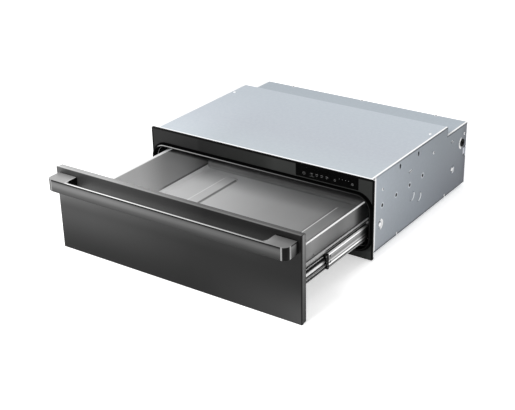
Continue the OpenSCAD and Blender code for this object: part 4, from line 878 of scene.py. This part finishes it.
def pan_sheet():
    """The pan as one sheet: its floor, then a bend, a wall and a rim carried round the floor's edge.

    The floor is a grid of points, raised by a smooth step of how far each lies inside a rib's rounded
    outline. The same edge points carry the profile outwards, each along its side's direction, and along a
    turning direction at the corners, where the bend becomes part of a ball. The rim is cut off in line with
    the front wall.
    """
    bend, rim_out, rim_bend, wall_steps = 9.2, 8.5, 1.5, (60, 100, 130)
    low, high = span("drawer_pan")
    half, front, rear = high[0] - rim_out, low[1] + SHEET, high[1] - rim_out
    level, rim_top = low[2] + SHEET, high[2]
    rib_middles, rib_half, rib_front, rib_rear = (-208, 178), 22.5, -597, -111
    rib_rise, rib_corner, rib_slope = 3, 12, 4.5
    x_edge, y_edge = half - bend, (front + bend, rear - bend)
    # The grid is finer where the ribs rise: beside their long edges, and across their rounded ends
    margin, outside, within = 5, 1, 14
    rib_edges = [middle + side * rib_half for middle in rib_middles for side in (-1, 1)]
    rib_sides = [np.linspace(edge - margin, edge + margin, 9) for edge in rib_edges]
    rib_ends = [np.linspace(rib_front - outside, rib_front + within, 12),
                np.linspace(rib_rear - within, rib_rear + outside, 12)]
    xs = merged_steps(np.linspace(-x_edge, x_edge, 41), rib_sides)
    ys = merged_steps(np.linspace(*y_edge, 36), rib_ends)
    x, y = np.meshgrid(xs, ys, indexing="ij")
    beyond = np.stack([
        np.minimum(*(np.abs(x - middle) for middle in rib_middles)) - (rib_half - rib_corner),
        np.abs(y - (rib_front + rib_rear) / 2) - ((rib_rear - rib_front) / 2 - rib_corner)])
    inside = rib_corner - np.linalg.norm(np.maximum(beyond, 0), axis=0) - np.minimum(beyond.max(0), 0)
    share = np.clip(inside / rib_slope, 0, 1)
    floor_points = np.stack([x, y, level + rib_rise * share ** 2 * (3 - 2 * share)], -1).reshape(-1, 3)
    floor_faces = cells(len(xs), len(ys)).tolist()

    sides = [(xs, np.full(len(xs), y_edge[0]), -np.pi / 2), (np.full(len(ys), x_edge), ys, 0.0),
             (xs[::-1], np.full(len(xs), y_edge[1]), np.pi / 2),
             (np.full(len(ys), -x_edge), ys[::-1], np.pi)]
    corner_turn = np.linspace(0, np.pi / 2, 9)[1:-1]
    path, ways = [], []
    for across, along, way in sides:
        path += [np.stack([across, along], 1), np.repeat([[across[-1], along[-1]]], len(corner_turn), 0)]
        ways += [np.full(len(across), way), way + corner_turn]
    path, ways = np.concatenate(path), np.concatenate(ways)
    outward = np.stack([np.cos(ways), np.sin(ways)], 1)
    turn = np.radians(np.linspace(0, 90, 8))
    roll = np.radians(np.linspace(180, 90, 6))
    profile = np.concatenate([
        np.stack([bend * np.sin(turn), level + bend * (1 - np.cos(turn))], 1),
        [(bend, step) for step in wall_steps],
        np.stack([bend + rim_bend * (1 + np.cos(roll)), rim_top - rim_bend * (1 - np.sin(roll))], 1),
        [(bend + rim_out, rim_top)]])
    tiny = 1e-6
    limit = np.where(outward[:, 1] < -tiny, bend / np.maximum(-outward[:, 1], tiny), np.inf)
    distance = np.minimum(profile[None, :, 0], limit[:, None])
    edge_points = np.concatenate([path[:, None] + outward[:, None] * distance[..., None],
                                  np.broadcast_to(profile[None, :, 1:], distance.shape + (1,))], -1)
    edge_faces = cells(len(path), len(profile), True)[:, ::-1].tolist()
    return joined([(floor_points, floor_faces), (edge_points.reshape(-1, 3), edge_faces)])


pan = build("pressed_pan", pan_sheet(), pan_steel, "drawer", ["drawer_pan"], angle=50,
            closed=False)
wall = pan.modifiers.new("sheet", "SOLIDIFY")
wall.thickness = SHEET * MM
wall.offset = -1


# The mouth's seal

# Its middle line runs this far inside its edge, and turns each corner at this radius
INSET, SEAL_CORNER = 6.35, 42.5
# Its section is a bulb on a foot with bevelled edges, which meet at this angle from the bulb's middle
BULB, MEETING = 4.4, 21.3
FOOT_HALF, FOOT_RISE, TOP_HALF, TOP_RISE = 6.4, 2.4, 5.8, 3
low, high = span("mouth_seal")
foot = [(FOOT_HALF, high[1]), (FOOT_HALF, high[1] - FOOT_RISE), (TOP_HALF, high[1] - TOP_RISE)]
build("bulb_seal", carried(
    FRONT, rectangle(low[0] + INSET, low[2] + INSET, high[0] - INSET, high[2] - INSET, SEAL_CORNER, steps=16),
    foot + rounding((0, low[1] + BULB), BULB, MEETING, -180 - MEETING, steps=18)
    + [(-out, y) for out, y in reversed(foot)], ring=True),
    rubber_black, "cabinet", ["mouth_seal"])


# Printed marks on the touch glass

INK, STROKE = 0.05, 0.9  # thickness of the print, width of its lines
glass_face = span("touch_glass")[0][1]


def printed(points):
    """A flat shape on the glass: its outline carried straight through the print's thickness."""
    points = np.array(points, float)
    return carried(FRONT, (points, np.zeros_like(points)), [(0, glass_face), (0, glass_face - INK)])


def arc(centre, radius, start=0, end=359.9, steps=20):
    """Part of a ring: an outer arc and back along an inner one, from one angle to another in degrees."""
    angles = np.radians(np.linspace(start, end, steps + 1))
    ways = np.stack([np.cos(angles), np.sin(angles)], 1)
    middle = np.array(centre, float)
    return printed(np.concatenate([middle + ways * (radius + STROKE / 2),
                                   middle + ways[::-1] * (radius - STROKE / 2)]))


def bar(x0, z0, x1, z1):
    """A small rectangle."""
    return printed([(x0, z0), (x1, z0), (x1, z1), (x0, z1)])


# From the left: a power sign, four lidded bowls with a line under the first, a ring, four dots, and an open
# ring round a bar
marks = [arc((152, 192), 3.4, 120, 420), bar(151.5, 191.5, 152.5, 196.4)]
for x in (176, 191.3, 206.6, 222):
    marks += [bar(x - 3.6, 195.6, x + 3.6, 197), arc((x, 193.6), 2.2, 180, 360, steps=10)]
marks += [bar(170, 187.5, 183, 188.1), arc((246, 193), 2.6)]
marks += [arc((x, 200), 0.5, steps=10) for x in (259, 268.3, 277.6, 287)]
marks += [arc((298, 193), 3.0, -60, 240), bar(297.5, 190, 298.5, 196)]
build("touch_marks", joined(marks), icon_print, "cabinet")
